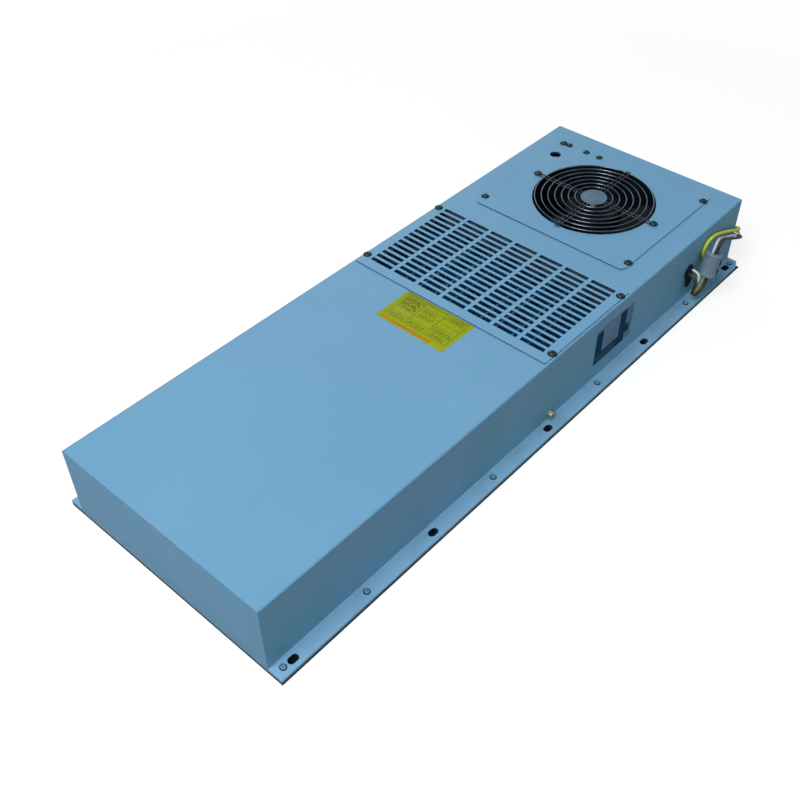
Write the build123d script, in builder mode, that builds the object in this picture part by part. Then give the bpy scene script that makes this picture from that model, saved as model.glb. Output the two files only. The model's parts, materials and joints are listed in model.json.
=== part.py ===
from build123d import *
import os
from math import cos, radians, sin, sqrt

# Cabinet heat exchanger with a heat pipe core, in millimetres.
# X runs along the length towards the inner fan, Z points out of the mounting panel,
# and the origin is the centre of the underside, where the gasket meets the panel.
# The half at +X holds the inner air circuit, the half at -X the outer one.

# Enclosure
length = 766.0
width = 262.0
flange_reach = 17.0
body_height = 83.0
sheet = 1.5
bend_radius = 2.0
gasket_thick = 3.0
corner_cut_x = 10.0
corner_cut_y = 5.0

gasket_end_width = 12.0
gasket_joint = 0.3
head_taper = 30.0
round_sides = 24
bore_sides = 36
guard_sides = 18
head_sides = 12
shank_sides = 8
screw_end = 1.0

panel_z = gasket_thick
floor_z = panel_z + sheet
flange_top_z = floor_z + sheet
top_z = flange_top_z + body_height
ceiling_z = top_z - sheet
half_length = length / 2
half_width = width / 2
outer_half_width = half_width + flange_reach
inside_half_width = half_width - sheet

# Room kept at each end for the fans, which leaves the middle to the core
fan_end_room = 114.0
core_end_room = 241.0
fan_x = half_length - fan_end_room
core_half_length = half_length - core_end_room

# Fastening of the unit on its panel
slot_width = 7.5
slot_length = 11.3
slot_row_y = half_width + 8.5
slot_end_room = 21.0
slot_pitch_x = (half_length - slot_end_room) / 2
slot_clearance = 0.5

# Plates that lie on the cover
plate_thick = 1.2
plate_top_z = top_z + plate_thick
plate_screw_d = 4.0
plate_head_d = 7.6
plate_head_h = 2.3
plate_screw_length = 8.0

grille_low_x = -2.0
grille_core_lap = 5.0
grille_high_x = core_half_length + grille_core_lap
grille_length = grille_high_x - grille_low_x
grille_half_y = half_width - 2.6
grille_corner_r = 3.0
grille_slots_shift = 2.5
grille_slots_x = grille_low_x + grille_length / 2 + grille_slots_shift
slot_rows = 7
grille_slot_width = 5.4
grille_slot_gap = 4.6
grille_slot_bar = 3.45
grille_end_margins = 25.1
grille_side_margins = 52.8
slot_columns = round((grille_length - grille_end_margins) / (grille_slot_width + grille_slot_bar)) + 1
slot_column_pitch = (grille_length - grille_end_margins) / (slot_columns - 1)
slot_row_pitch = (2 * grille_half_y - grille_side_margins) / (slot_rows - 1)
grille_slot_length = slot_row_pitch - grille_slot_gap
grille_screw_end_room = 14.0
grille_screw_dx = grille_length / 2 - grille_screw_end_room
grille_screw_y = half_width - 6.0
grille_window_edge = 2.5

fan_plate_half_x = 94.7
fan_plate_half_y = 102.4
fan_plate_corner_r = 7.0
fan_plate_screw_dx = 79.3
fan_plate_screw_y = 99.2
fan_hole_d = 144.5
fan_window_half_x = 76.6
fan_window_half_y = 89.0
sight_hole_x = fan_x + 51.0
sight_hole_y = 92.0
sight_hole_d = 13.5
control_screw_x = fan_x + 80.0
control_screw_rows_y = (91.0, 65.5, 46.5)
control_screw_d = 3.0
control_head_d = 6.4
control_head_h = 2.0
control_screw_length = 8.0
standoff_height = 10.0
standoff_d = 6.0

# Axial fan, round with two flats, hung by two ears
fan_outline_r = 86.0
fan_flat_half = 75.0
fan_depth = 51.0
fan_bore_r = 72.0
fan_tube_wall = 2.5
fan_flange_thick = 4.0
fan_screw_r = 81.0
fan_screw_d = 4.0
fan_nut_d = 7.6
fan_nut_h = 3.2
strut_width = 7.0
strut_height = 4.0
motor_plate_r = 33.0
bearing_tube_wall = 2.0
hub_r = 32.0
hub_wall = 2.5
hub_height = 36.0
hub_top = 9.0
blade_count = 5
blade_gap = 1.4
blade_chord = 64.0
blade_pitch = 32.0
blade_thick = 2.2
blade_camber = 3.5
shaft_r = 3.0
shaft_gap = 0.05
bearing_r = 8.0
stator_r = 25.0
stator_height = 16.0
stator_pole_pairs = 3
stator_pole_width = 16.0
motor_gap = 2.0
hub_boss = 5.0

# Finger guard
guard_wire = 1.6
guard_rings = 7
guard_first_r = 22.0
guard_ring_pitch = 7.9
guard_disc_r = 15.5
guard_hairpin = 4.8
guard_hook_r = 75.0
guard_root_r = 13.0
guard_sink = 0.3
guard_z = plate_top_z
guard_ring_z = guard_z + guard_wire - guard_sink
guard_eye_r = fan_screw_d / 2 + 0.4

# Heat pipe core
pipe_count = 11
pipe_thick = 3.0
pipe_depth = 44.0
core_mid_z = (floor_z + ceiling_z) / 2
pipe_end_reach = 3.0
fin_thick = 0.5
fin_legs = 8
fin_end_gap = 3.0
side_plate_thick = 1.5
seal_width = 3.5
seal_low_y = inside_half_width - seal_width
side_plate_y = seal_low_y - side_plate_thick
pipe_pitch = (2 * side_plate_y + pipe_thick) / (pipe_count + 1)
partition_thick = 2.0
baffle_thick = 1.5
baffle_gap = 0.1
foot_reach = 12.0
plenum_side_room = 13.0
plenum_window_half_y = half_width - plenum_side_room
core_low_z = core_mid_z - pipe_depth / 2
core_high_z = core_mid_z + pipe_depth / 2
plenum_lip = 2.0
channel_width = pipe_pitch - pipe_thick

# Outer air outlet in the back panel, under the condenser
outlet_partition_room = 15.0
outlet_baffle_room = 7.0
outlet_side_room = 19.0
outlet_length = core_half_length - outlet_partition_room - outlet_baffle_room
outlet_mid_x = -outlet_partition_room - outlet_length / 2
outlet_half_y = half_width - outlet_side_room
outlet_bars = 5
outlet_bar = 6.0

# Control board
board_thick = 1.6
board_top_z = ceiling_z - standoff_height
board_edge_room = 12.0
board_end_reach = 25.0
board_arm_reach = 41.0
board_low_x = control_screw_x - board_edge_room
board_high_x = control_screw_x + board_end_reach
board_low_y = 36.0
board_high_y = 104.0
board_arm_x = control_screw_x - board_arm_reach
board_arm_y = 80.0
board_screw_length = 5.0
board_part_offset = 14.0
terminal_y = 72.0
terminal_width = 16.0
terminal_length = 20.0
terminal_height = 12.0
terminal_poles = 3
terminal_pitch = 6.0
terminal_web = 1.5
relay_y = 50.0
relay_width = 16.0
relay_length = 18.0
relay_height = 15.0
capacitor_y = 92.0
capacitor_d = 8.0
capacitor_height = 14.0
trimmer_d = 9.0
trimmer_height = 7.5
trimmer_slot = 1.2

# Leads and what is on them
grommet_fan_offset = 8.0
grommet_x = fan_x + grommet_fan_offset
grommet_z = 45.0
grommet_hole_r = 7.0
grommet_lip_r = 9.0
grommet_lip = 2.0
grommet_nose_r = 6.0
grommet_nose = 1.5
earth_x = 13.0
earth_z = flange_top_z + 6.7
earth_screw_d = 5.0
earth_head_d = 8.8
earth_head_h = 3.5
earth_screw_length = 10.0
washer_d = 8.8
washer_thick = 1.0
ferrite_r = 10.5
ferrite_length = 28.0
ferrite_wall = 1.5
ferrite_bore_r = 4.6
ferrite_core_bore_r = 5.6
ferrite_split = 0.3
ferrite_lean = 20.0
ferrite_fan_offset = 30.0
ferrite_x = fan_x + ferrite_fan_offset
ferrite_z = 50.0
ferrite_lead_offset = 2.2
ferrite_wall_gap = 0.3
yellow_green_d = 3.8
white_d = 3.0
black_d = 3.6
lead_pitch = 3.9
lead_sides = 6
black_lane_r = 24.4
white_lane_r = 28.0
yellow_green_lane_r = 31.6
coil_turns = 2
coil_sides = 36
coil_bottom_z = 0.0
coil_inner_r = black_lane_r - black_d / 2
coil_outer_r = yellow_green_lane_r + yellow_green_d / 2
coil_end_offset = 36.9
coil_side_offset = 86.0
coil_x = half_length + coil_end_offset
coil_y = coil_side_offset - half_width
connector_width = 16.0
connector_length = 24.0
connector_height = 11.0
connector_side_offset = 114.0
connector_start_y = connector_side_offset - half_width
connector_socket_depth = 8.0


def finish(part, name):
    part.label = name
    export_step(part, f"parts/{name}.step")


os.makedirs("parts", exist_ok=True)

# Places of what repeats
mount_slots = [(n * slot_pitch_x, side * slot_row_y) for n in range(-2, 3) for side in (-1, 1)]
grille_screws_at = [
    (grille_slots_x + dx, y)
    for dx in (-grille_screw_dx, grille_screw_dx)
    for y in (-grille_screw_y, grille_screw_y)
]
fan_plate_screws_at = [
    (fan_x + dx, y)
    for dx in (-fan_plate_screw_dx, fan_plate_screw_dx)
    for y in (-fan_plate_screw_y, fan_plate_screw_y)
]
control_screws_at = [(control_screw_x, y) for y in control_screw_rows_y]
fan_ears_at = [(0, -fan_screw_r), (0, fan_screw_r)]
pipes_y = [(n - (pipe_count - 1) / 2) * pipe_pitch for n in range(pipe_count)]
channels_y = [(n - pipe_count / 2) * pipe_pitch for n in range(pipe_count + 1)]

# Outline of the flange, with the two corners beside the inner fan cut off
with BuildSketch() as flange_outline:
    with BuildLine():
        Polyline(
            (-half_length, -outer_half_width),
            (half_length - corner_cut_x, -outer_half_width),
            (half_length, corner_cut_y - outer_half_width),
            (half_length, outer_half_width - corner_cut_y),
            (half_length - corner_cut_x, outer_half_width),
            (-half_length, outer_half_width),
            close=True,
        )
    make_face()

# Cover: a hat section bent from one sheet, closed by its two end walls
with BuildPart() as cover_shell:
    with BuildSketch(Plane.YZ.offset(-half_length)):
        with BuildLine():
            FilletPolyline(
                (-outer_half_width, flange_top_z),
                (-half_width, flange_top_z),
                (-half_width, top_z),
                (half_width, top_z),
                (half_width, flange_top_z),
                (outer_half_width, flange_top_z),
                radius=bend_radius,
            )
            offset(amount=sheet, side=Side.RIGHT)
        make_face()
    extrude(amount=length)
    for side in (-1, 1):
        with BuildSketch(Plane.XY.offset(floor_z)):
            with Locations((side * (half_length - sheet / 2), 0)):
                Rectangle(sheet, 2 * inside_half_width)
        extrude(amount=top_z - floor_z - sheet)
    extrude(to_extrude=flange_outline.sketch, amount=top_z, mode=Mode.INTERSECT)
    with BuildSketch(Plane.XY.offset(floor_z)):
        with Locations(*mount_slots):
            SlotOverall(slot_length, slot_width)
    extrude(amount=sheet, mode=Mode.SUBTRACT)
    with BuildSketch(Plane.XY.offset(ceiling_z)):
        with Locations((grille_slots_x, 0)):
            Rectangle(
                (slot_columns - 1) * slot_column_pitch + grille_slot_width + 2 * grille_window_edge,
                (slot_rows - 1) * slot_row_pitch + grille_slot_length + 2 * grille_window_edge,
            )
        with Locations((fan_x, 0)):
            Rectangle(2 * fan_window_half_x, 2 * fan_window_half_y)
        with Locations(*grille_screws_at, *fan_plate_screws_at):
            RegularPolygon(plate_screw_d / 2, shank_sides)
        with Locations(*control_screws_at):
            RegularPolygon(control_screw_d / 2, shank_sides)
        with Locations((sight_hole_x, sight_hole_y)):
            RegularPolygon(sight_hole_d / 2, round_sides)
    extrude(amount=sheet, mode=Mode.SUBTRACT)
    with BuildSketch(Plane.XZ.offset(half_width)):
        with Locations((grommet_x, grommet_z)):
            RegularPolygon(grommet_hole_r, round_sides)
        with Locations((earth_x, earth_z)):
            RegularPolygon(earth_screw_d / 2, shank_sides)
    extrude(amount=-sheet, mode=Mode.SUBTRACT)
finish(cover_shell.part, "cover_shell")

# Back panel with the outer fan's hole and the outlet grille under the condenser
with BuildPart() as back_panel:
    extrude(to_extrude=flange_outline.sketch.moved(Pos(0, 0, panel_z)), amount=sheet)
    with BuildSketch(Plane.XY.offset(panel_z)):
        with Locations(*mount_slots):
            Rectangle(slot_length + 2 * slot_clearance, slot_width + 2 * slot_clearance)
        with Locations((-fan_x, 0)):
            RegularPolygon(fan_hole_d / 2, bore_sides)
        with Locations(*[(-fan_x + x, y) for x, y in fan_ears_at]):
            RegularPolygon(fan_screw_d / 2, shank_sides)
        with Locations((outlet_mid_x, 0)):
            with GridLocations(outlet_length / outlet_bars, 0, outlet_bars, 1):
                Rectangle(outlet_length / outlet_bars - outlet_bar, 2 * outlet_half_y)
    extrude(amount=sheet, mode=Mode.SUBTRACT)
finish(back_panel.part, "back_panel")

# Foam strips under the flange, butted at the corners
with BuildPart() as gasket:
    with BuildSketch():
        add(flange_outline.sketch)
        with Locations((0, 0)):
            Rectangle(length, 2 * half_width, mode=Mode.SUBTRACT)
        with Locations(*mount_slots):
            Rectangle(slot_length + 2 * slot_clearance, slot_width + 2 * slot_clearance, mode=Mode.SUBTRACT)
        for side in (-1, 1):
            with Locations((side * (half_length - gasket_end_width / 2), 0)):
                Rectangle(gasket_end_width, 2 * (half_width - gasket_joint))
    extrude(amount=gasket_thick)
finish(gasket.part, "gasket")

# Plate with punched slots over the evaporator's outlet
with BuildPart() as grille_plate:
    with BuildSketch(Plane.XY.offset(top_z)):
        with Locations((grille_low_x + grille_length / 2, 0)):
            RectangleRounded(grille_length, 2 * grille_half_y, grille_corner_r)
        with Locations((grille_slots_x, 0)):
            with GridLocations(slot_column_pitch, slot_row_pitch, slot_columns, slot_rows):
                Rectangle(grille_slot_width, grille_slot_length, mode=Mode.SUBTRACT)
        with Locations(*grille_screws_at):
            RegularPolygon(plate_screw_d / 2, shank_sides, mode=Mode.SUBTRACT)
    extrude(amount=plate_thick)
finish(grille_plate.part, "grille_plate")

# Plate that carries the inner fan
with BuildPart() as fan_plate:
    with BuildSketch(Plane.XY.offset(top_z)):
        with Locations((fan_x, 0)):
            RectangleRounded(2 * fan_plate_half_x, 2 * fan_plate_half_y, fan_plate_corner_r)
            RegularPolygon(fan_hole_d / 2, bore_sides, mode=Mode.SUBTRACT)
        with Locations(*fan_plate_screws_at):
            RegularPolygon(plate_screw_d / 2, shank_sides, mode=Mode.SUBTRACT)
        with Locations(*[(fan_x + x, y) for x, y in fan_ears_at]):
            RegularPolygon(fan_screw_d / 2, shank_sides, mode=Mode.SUBTRACT)
        with Locations(*control_screws_at):
            RegularPolygon(control_screw_d / 2, shank_sides, mode=Mode.SUBTRACT)
        with Locations((sight_hole_x, sight_hole_y)):
            RegularPolygon(sight_hole_d / 2, round_sides, mode=Mode.SUBTRACT)
    extrude(amount=plate_thick)
finish(fan_plate.part, "fan_plate")


# Screws, all with a tapered head that sits on the plane given and a plain shank below it
def screws(seat, places, shank_d, shank_length, head_d, head_h):
    with BuildPart() as group:
        with BuildSketch():
            with Locations(*places):
                RegularPolygon(shank_d / 2, shank_sides)
        extrude(amount=-shank_length)
        with BuildSketch():
            with Locations(*places):
                RegularPolygon(head_d / 2, head_sides)
        extrude(amount=head_h, taper=head_taper)
    return group.part.moved(seat.location)


def nuts(seat, places, bore_d, across, height):
    with BuildPart() as group:
        with BuildSketch(seat):
            with Locations(*places):
                RegularPolygon(across / 2, 6, major_radius=False)
                RegularPolygon(bore_d / 2, shank_sides, mode=Mode.SUBTRACT)
        extrude(amount=height)
    return group.part


plate_top = Plane.XY.offset(plate_top_z)
finish(
    screws(plate_top, grille_screws_at, plate_screw_d, plate_screw_length, plate_head_d, plate_head_h),
    "grille_screws",
)
finish(
    screws(plate_top, fan_plate_screws_at, plate_screw_d, plate_screw_length, plate_head_d, plate_head_h),
    "fan_plate_screws",
)
finish(
    screws(
        plate_top,
        control_screws_at,
        control_screw_d,
        control_screw_length,
        control_head_d,
        control_head_h,
    ),
    "control_screws",
)
# Finger guard: rings on hairpin spokes, with an eye under each of the fan's two screws
with BuildPart() as finger_guard:
    with BuildSketch(Plane.XY.offset(guard_z)):
        with Locations((fan_x, 0)):
            for turn in (0, 180):
                with PolarLocations(0, 1, start_angle=turn):
                    with Locations(((guard_hook_r + guard_root_r) / 2, 0)):
                        SlotOverall(guard_hook_r - guard_root_r, guard_hairpin + guard_wire)
                        SlotOverall(
                            guard_hook_r - guard_root_r - 2 * guard_wire,
                            guard_hairpin - guard_wire,
                            mode=Mode.SUBTRACT,
                        )
            for turn in (90, 270):
                with PolarLocations(0, 1, start_angle=turn):
                    with Locations(((fan_screw_r + guard_root_r) / 2, 0)):
                        Rectangle(fan_screw_r - guard_root_r, guard_hairpin + guard_wire)
                        Rectangle(fan_screw_r - guard_root_r, guard_hairpin - guard_wire, mode=Mode.SUBTRACT)
                    with Locations((fan_screw_r, 0)):
                        RegularPolygon(guard_eye_r + guard_wire, head_sides)
                        RegularPolygon(guard_eye_r, head_sides, mode=Mode.SUBTRACT)
    extrude(amount=guard_wire)
    with BuildSketch(Plane.XY.offset(guard_ring_z)):
        with Locations((fan_x, 0)):
            for n in reversed(range(guard_rings)):
                ring_r = guard_first_r + n * guard_ring_pitch
                RegularPolygon(ring_r + guard_wire / 2, guard_sides)
                RegularPolygon(ring_r - guard_wire / 2, guard_sides, mode=Mode.SUBTRACT)
            RegularPolygon(guard_disc_r, guard_sides)
    extrude(amount=guard_wire)
finish(finger_guard.part, "finger_guard")
guard_stack = guard_wire + plate_thick + fan_flange_thick
finish(
    screws(
        Plane.XY.offset(guard_z + guard_wire),
        [(fan_x + x, y) for x, y in fan_ears_at],
        fan_screw_d,
        guard_stack + fan_nut_h + screw_end,
        plate_head_d,
        plate_head_h,
    ),
    "guard_screws",
)
finish(
    screws(
        Plane(origin=(0, 0, panel_z), x_dir=(1, 0, 0), z_dir=(0, 0, -1)),
        [(-fan_x + x, y) for x, y in fan_ears_at],
        fan_screw_d,
        sheet + fan_flange_thick + fan_nut_h + screw_end,
        plate_head_d,
        plate_head_h,
    ),
    "outer_fan_screws",
)


# Section of a blade: a sheet bulged to one side, thickest in the middle, across the radius at an angle
def blade_section(angle):
    tangent = (-sin(radians(angle)), cos(radians(angle)), 0)
    outward = (cos(radians(angle)), sin(radians(angle)), 0)
    along = (blade_chord / 2 * cos(radians(blade_pitch)), blade_chord / 2 * sin(radians(blade_pitch)))
    normal = (-sin(radians(blade_pitch)), cos(radians(blade_pitch)))
    crest = blade_camber + blade_thick / 2
    hollow = blade_camber - blade_thick / 2
    middle = (0, 0, hub_top + hub_height / 2)
    with BuildSketch(Plane(origin=middle, x_dir=tangent, z_dir=outward)) as section:
        with BuildLine():
            ThreePointArc((-along[0], -along[1]), (crest * normal[0], crest * normal[1]), along)
            ThreePointArc(along, (hollow * normal[0], hollow * normal[1]), (-along[0], -along[1]))
        make_face()
    return section.sketch


# One fan, drawn on its mounting face with Z into the unit, then put on its seat
def fan(prefix, seat):
    with BuildPart() as frame:
        for low in (0, fan_depth - fan_flange_thick):
            with BuildSketch(Plane.XY.offset(low)):
                RegularPolygon(fan_outline_r, bore_sides)
                Rectangle(2 * fan_flat_half, 2 * fan_outline_r, mode=Mode.INTERSECT)
                with Locations(*fan_ears_at):
                    RegularPolygon(fan_screw_d / 2, shank_sides, mode=Mode.SUBTRACT)
            extrude(amount=fan_flange_thick)
        with BuildSketch():
            RegularPolygon(fan_bore_r + fan_tube_wall, bore_sides)
        extrude(amount=fan_depth)
        with BuildSketch():
            RegularPolygon(fan_bore_r, bore_sides)
        extrude(amount=fan_depth, mode=Mode.SUBTRACT)
        with BuildSketch(Plane.XY.offset(fan_depth - strut_height)):
            with PolarLocations((fan_bore_r + motor_plate_r) / 2, 4, start_angle=45):
                Rectangle(fan_bore_r - motor_plate_r + 2 * fan_tube_wall, strut_width)
            RegularPolygon(motor_plate_r, round_sides)
        extrude(amount=strut_height)
    finish(frame.part.moved(seat.location), f"{prefix}_fan_frame")

    motor_base = fan_depth - strut_height
    bearing_tube_low = hub_top + hub_wall + hub_boss + motor_gap
    with BuildPart() as stator:
        with BuildSketch(Plane.XY.offset(bearing_tube_low)):
            RegularPolygon(bearing_r + bearing_tube_wall, round_sides)
        extrude(amount=motor_base - bearing_tube_low)
        with BuildSketch(Plane.XY.offset(motor_base - stator_height - motor_gap)):
            with PolarLocations(0, stator_pole_pairs, angular_range=180):
                Rectangle(2 * stator_r, stator_pole_width)
        extrude(amount=stator_height)
        with BuildSketch(Plane.XY.offset(bearing_tube_low)):
            RegularPolygon(bearing_r, round_sides)
        extrude(amount=motor_base - bearing_tube_low, mode=Mode.SUBTRACT)
    finish(stator.part.moved(seat.location), f"{prefix}_fan_stator")

    with BuildPart() as bearing:
        with BuildSketch(Plane.XY.offset(bearing_tube_low)):
            RegularPolygon(bearing_r, round_sides)
            Circle(shaft_r + shaft_gap, mode=Mode.SUBTRACT)
        extrude(amount=motor_base - motor_gap - bearing_tube_low)
    finish(bearing.part.moved(seat.location), f"{prefix}_fan_bearing")

    with BuildPart() as rotor:
        for n in range(blade_count):
            extrude(to_extrude=blade_section(n * 360 / blade_count), amount=fan_bore_r)
        with BuildSketch():
            with PolarLocations(0, blade_count):
                Polygon((0, 0), (2 * fan_bore_r, -fan_bore_r), (2 * fan_bore_r, fan_bore_r / 2), align=None)
            RegularPolygon(fan_bore_r - blade_gap, bore_sides, mode=Mode.INTERSECT)
            RegularPolygon(hub_r - hub_wall / 2, bore_sides, mode=Mode.SUBTRACT)
        extrude(amount=fan_depth, mode=Mode.INTERSECT)
        with BuildSketch(Plane.XY.offset(hub_top)):
            RegularPolygon(hub_r, bore_sides)
        extrude(amount=hub_height)
        chamfer(rotor.faces().sort_by(Axis.Z)[0].edges(), length=hub_wall / 2)
        with BuildSketch(Plane.XY.offset(hub_top + hub_wall)):
            RegularPolygon(hub_r - hub_wall, bore_sides)
        extrude(amount=hub_height - hub_wall, mode=Mode.SUBTRACT)
        with BuildSketch(Plane.XY.offset(hub_top)):
            RegularPolygon(2 * shaft_r, head_sides)
        extrude(amount=hub_wall + hub_boss)
        with BuildSketch(Plane.XY.offset(hub_top)):
            Circle(shaft_r)
        extrude(amount=hub_wall + hub_boss, mode=Mode.SUBTRACT)
    finish(rotor.part.moved(seat.location), f"{prefix}_fan_rotor")

    with BuildPart() as shaft:
        with BuildSketch(Plane.XY.offset(hub_top)):
            Circle(shaft_r)
        extrude(amount=motor_base - motor_gap - hub_top)
    finish(shaft.part.moved(seat.location), f"{prefix}_fan_shaft")

    nut_seat = Plane.XY.offset(fan_flange_thick)
    ear_nuts = nuts(nut_seat, fan_ears_at, fan_screw_d, fan_nut_d, fan_nut_h)
    finish(ear_nuts.moved(seat.location), f"{prefix}_fan_nuts")


fan("inner", Plane(origin=(fan_x, 0, top_z), x_dir=(1, 0, 0), z_dir=(0, 0, -1)))
fan("outer", Plane(origin=(-fan_x, 0, floor_z), x_dir=(1, 0, 0), z_dir=(0, 0, 1)))

# Flat heat pipes, which run through the partition from one air circuit into the other
with BuildPart() as heat_pipes:
    with BuildSketch(Plane.XY.offset(core_low_z)):
        with Locations(*[(0, y) for y in pipes_y]):
            Rectangle(2 * (core_half_length + pipe_end_reach), pipe_thick)
    extrude(amount=pipe_depth)
finish(heat_pipes.part, "heat_pipes")


# Folded fins between the pipes; side is 1 for the evaporator and -1 for the condenser
def folded_fins(side):
    low_x = partition_thick / 2 + fin_end_gap
    leg = (core_half_length - fin_end_gap - low_x) / fin_legs
    crest = (channel_width - fin_thick) / 2
    fold = [(side * (low_x + n * leg), crest * (-1) ** n) for n in range(fin_legs + 1)]
    upper = [(x, y + fin_thick / 2) for x, y in fold]
    lower = [(x, y - fin_thick / 2) for x, y in fold]
    with BuildPart() as fins:
        with BuildSketch(Plane.XY.offset(core_low_z)):
            with Locations(*[(0, y) for y in channels_y]):
                Polygon(*upper, *reversed(lower), align=None)
        extrude(amount=pipe_depth)
    return fins.part


finish(folded_fins(1), "evaporator_fins")
finish(folded_fins(-1), "condenser_fins")

# Side plates of the core, and the foam that closes the gap between them and the cover
core_bay = core_half_length - partition_thick / 2
core_bays = [side * (core_half_length + partition_thick / 2) / 2 for side in (-1, 1)]
with BuildPart() as core_side_plates:
    with BuildSketch(Plane.XY.offset(core_low_z)):
        for side in (-1, 1):
            with Locations(*[(x, side * (side_plate_y + side_plate_thick / 2)) for x in core_bays]):
                Rectangle(core_bay, side_plate_thick)
    extrude(amount=pipe_depth)
finish(core_side_plates.part, "core_side_plates")

with BuildPart() as core_seals:
    with BuildSketch(Plane.XY.offset(core_low_z)):
        for side in (-1, 1):
            with Locations(*[(x, side * (seal_low_y + inside_half_width) / 2) for x in core_bays]):
                Rectangle(core_bay, inside_half_width - seal_low_y)
    extrude(amount=pipe_depth)
finish(core_seals.part, "core_seals")


# A wall across the cover: slots for the pipes, a window for the air, and a folded foot
def cross_wall(low_x, thick, window_low_z, window_high_z, foot, foot_z):
    with BuildPart() as wall:
        with BuildSketch(Plane.YZ.offset(low_x)) as wall_outline:
            with Locations((0, (floor_z + ceiling_z) / 2)):
                Rectangle(2 * inside_half_width, ceiling_z - floor_z)
                chamfer(wall_outline.vertices(), length=bend_radius)
            with Locations(*[(y, core_mid_z) for y in pipes_y]):
                Rectangle(pipe_thick + 2 * baffle_gap, pipe_depth + 2 * baffle_gap, mode=Mode.SUBTRACT)
            if window_high_z > window_low_z:
                with Locations((0, (window_low_z + window_high_z) / 2)):
                    Rectangle(2 * plenum_window_half_y, window_high_z - window_low_z, mode=Mode.SUBTRACT)
        extrude(amount=thick)
        with BuildSketch(Plane.XY.offset(foot_z)):
            with Locations((low_x + thick / 2 + foot / 2, 0)):
                Rectangle(abs(foot) + thick, 2 * (inside_half_width - bend_radius))
        extrude(amount=sheet)
    return wall.part


finish(
    cross_wall(-partition_thick / 2, partition_thick, 0, 0, -foot_reach, floor_z),
    "partition",
)
finish(
    cross_wall(
        core_half_length,
        baffle_thick,
        floor_z,
        core_low_z - plenum_lip,
        foot_reach,
        ceiling_z - sheet,
    ),
    "inner_baffle",
)
finish(
    cross_wall(
        -core_half_length - baffle_thick,
        baffle_thick,
        core_high_z + plenum_lip,
        ceiling_z,
        -foot_reach,
        floor_z,
    ),
    "outer_baffle",
)

# Control board, hung on standoffs beside the inner fan
with BuildPart() as control_board:
    with BuildSketch(Plane.XY.offset(board_top_z - board_thick)):
        with BuildLine():
            Polyline(
                (board_low_x, board_low_y),
                (board_high_x, board_low_y),
                (board_high_x, board_high_y),
                (board_arm_x, board_high_y),
                (board_arm_x, board_arm_y),
                (board_low_x, board_arm_y),
                close=True,
            )
        make_face()
        with Locations(*control_screws_at):
            RegularPolygon(control_screw_d / 2, shank_sides, mode=Mode.SUBTRACT)
    extrude(amount=board_thick)
finish(control_board.part, "control_board")

with BuildPart() as board_standoffs:
    with BuildSketch(Plane.XY.offset(board_top_z)):
        with Locations(*control_screws_at):
            RegularPolygon(standoff_d / 2, 6)
            RegularPolygon(control_screw_d / 2, shank_sides, mode=Mode.SUBTRACT)
    extrude(amount=standoff_height)
finish(board_standoffs.part, "board_standoffs")

board_under = Plane(origin=(0, 0, board_top_z - board_thick), x_dir=(1, 0, 0), z_dir=(0, 0, -1))
under_board_screws = [(x, -y) for x, y in control_screws_at]
finish(
    screws(
        board_under,
        under_board_screws,
        control_screw_d,
        board_screw_length,
        control_head_d,
        control_head_h,
    ),
    "board_screws",
)

parts_x = control_screw_x + board_part_offset
with BuildPart() as terminal_block:
    with BuildSketch(board_under):
        with Locations((parts_x, -terminal_y)):
            Rectangle(terminal_width, terminal_length)
    extrude(amount=terminal_height)
    with BuildSketch(Plane.YZ.offset(parts_x + terminal_width / 2)):
        with Locations((terminal_y, board_top_z - board_thick - terminal_height / 2)):
            with GridLocations(terminal_pitch, 0, terminal_poles, 1):
                Rectangle(terminal_pitch - terminal_web, terminal_height / 2)
    extrude(amount=-terminal_width / 2, mode=Mode.SUBTRACT)
finish(terminal_block.part, "terminal_block")

with BuildPart() as board_relay:
    with BuildSketch(board_under):
        with Locations((parts_x, -relay_y)):
            Rectangle(relay_width, relay_length)
    extrude(amount=relay_height)
finish(board_relay.part, "board_relay")

with BuildPart() as board_capacitors:
    with BuildSketch(board_under):
        with Locations((parts_x, -capacitor_y)):
            with GridLocations(capacitor_d + 1, 0, 2, 1):
                RegularPolygon(capacitor_d / 2, head_sides)
    extrude(amount=capacitor_height)
finish(board_capacitors.part, "board_capacitors")

with BuildPart() as set_point_trimmer:
    with BuildSketch(Plane.XY.offset(board_top_z)):
        with Locations((sight_hole_x, sight_hole_y)):
            RegularPolygon(trimmer_d / 2, head_sides)
    extrude(amount=trimmer_height)
    with BuildSketch(Plane.XY.offset(board_top_z + trimmer_height)):
        with Locations((sight_hole_x, sight_hole_y)):
            Rectangle(trimmer_d * 0.7, trimmer_slot)
    extrude(amount=-trimmer_slot, mode=Mode.SUBTRACT)
finish(set_point_trimmer.part, "set_point_trimmer")

# Earth bolt and its washer, low on the side wall
side_wall = Plane.XZ.offset(half_width)
with BuildPart() as earth_washer:
    with BuildSketch(side_wall):
        with Locations((earth_x, earth_z)):
            RegularPolygon(washer_d / 2, head_sides)
            RegularPolygon(earth_screw_d / 2, shank_sides, mode=Mode.SUBTRACT)
    extrude(amount=washer_thick)
finish(earth_washer.part, "earth_washer")

with BuildPart() as earth_screw:
    with BuildSketch(side_wall.offset(washer_thick)):
        with Locations((earth_x, earth_z)):
            RegularPolygon(earth_head_d / 2, 6)
    extrude(amount=earth_head_h)
    with BuildSketch(side_wall.offset(washer_thick)):
        with Locations((earth_x, earth_z)):
            RegularPolygon(earth_screw_d / 2, shank_sides)
    extrude(amount=-earth_screw_length)
finish(earth_screw.part, "earth_screw")

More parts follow.
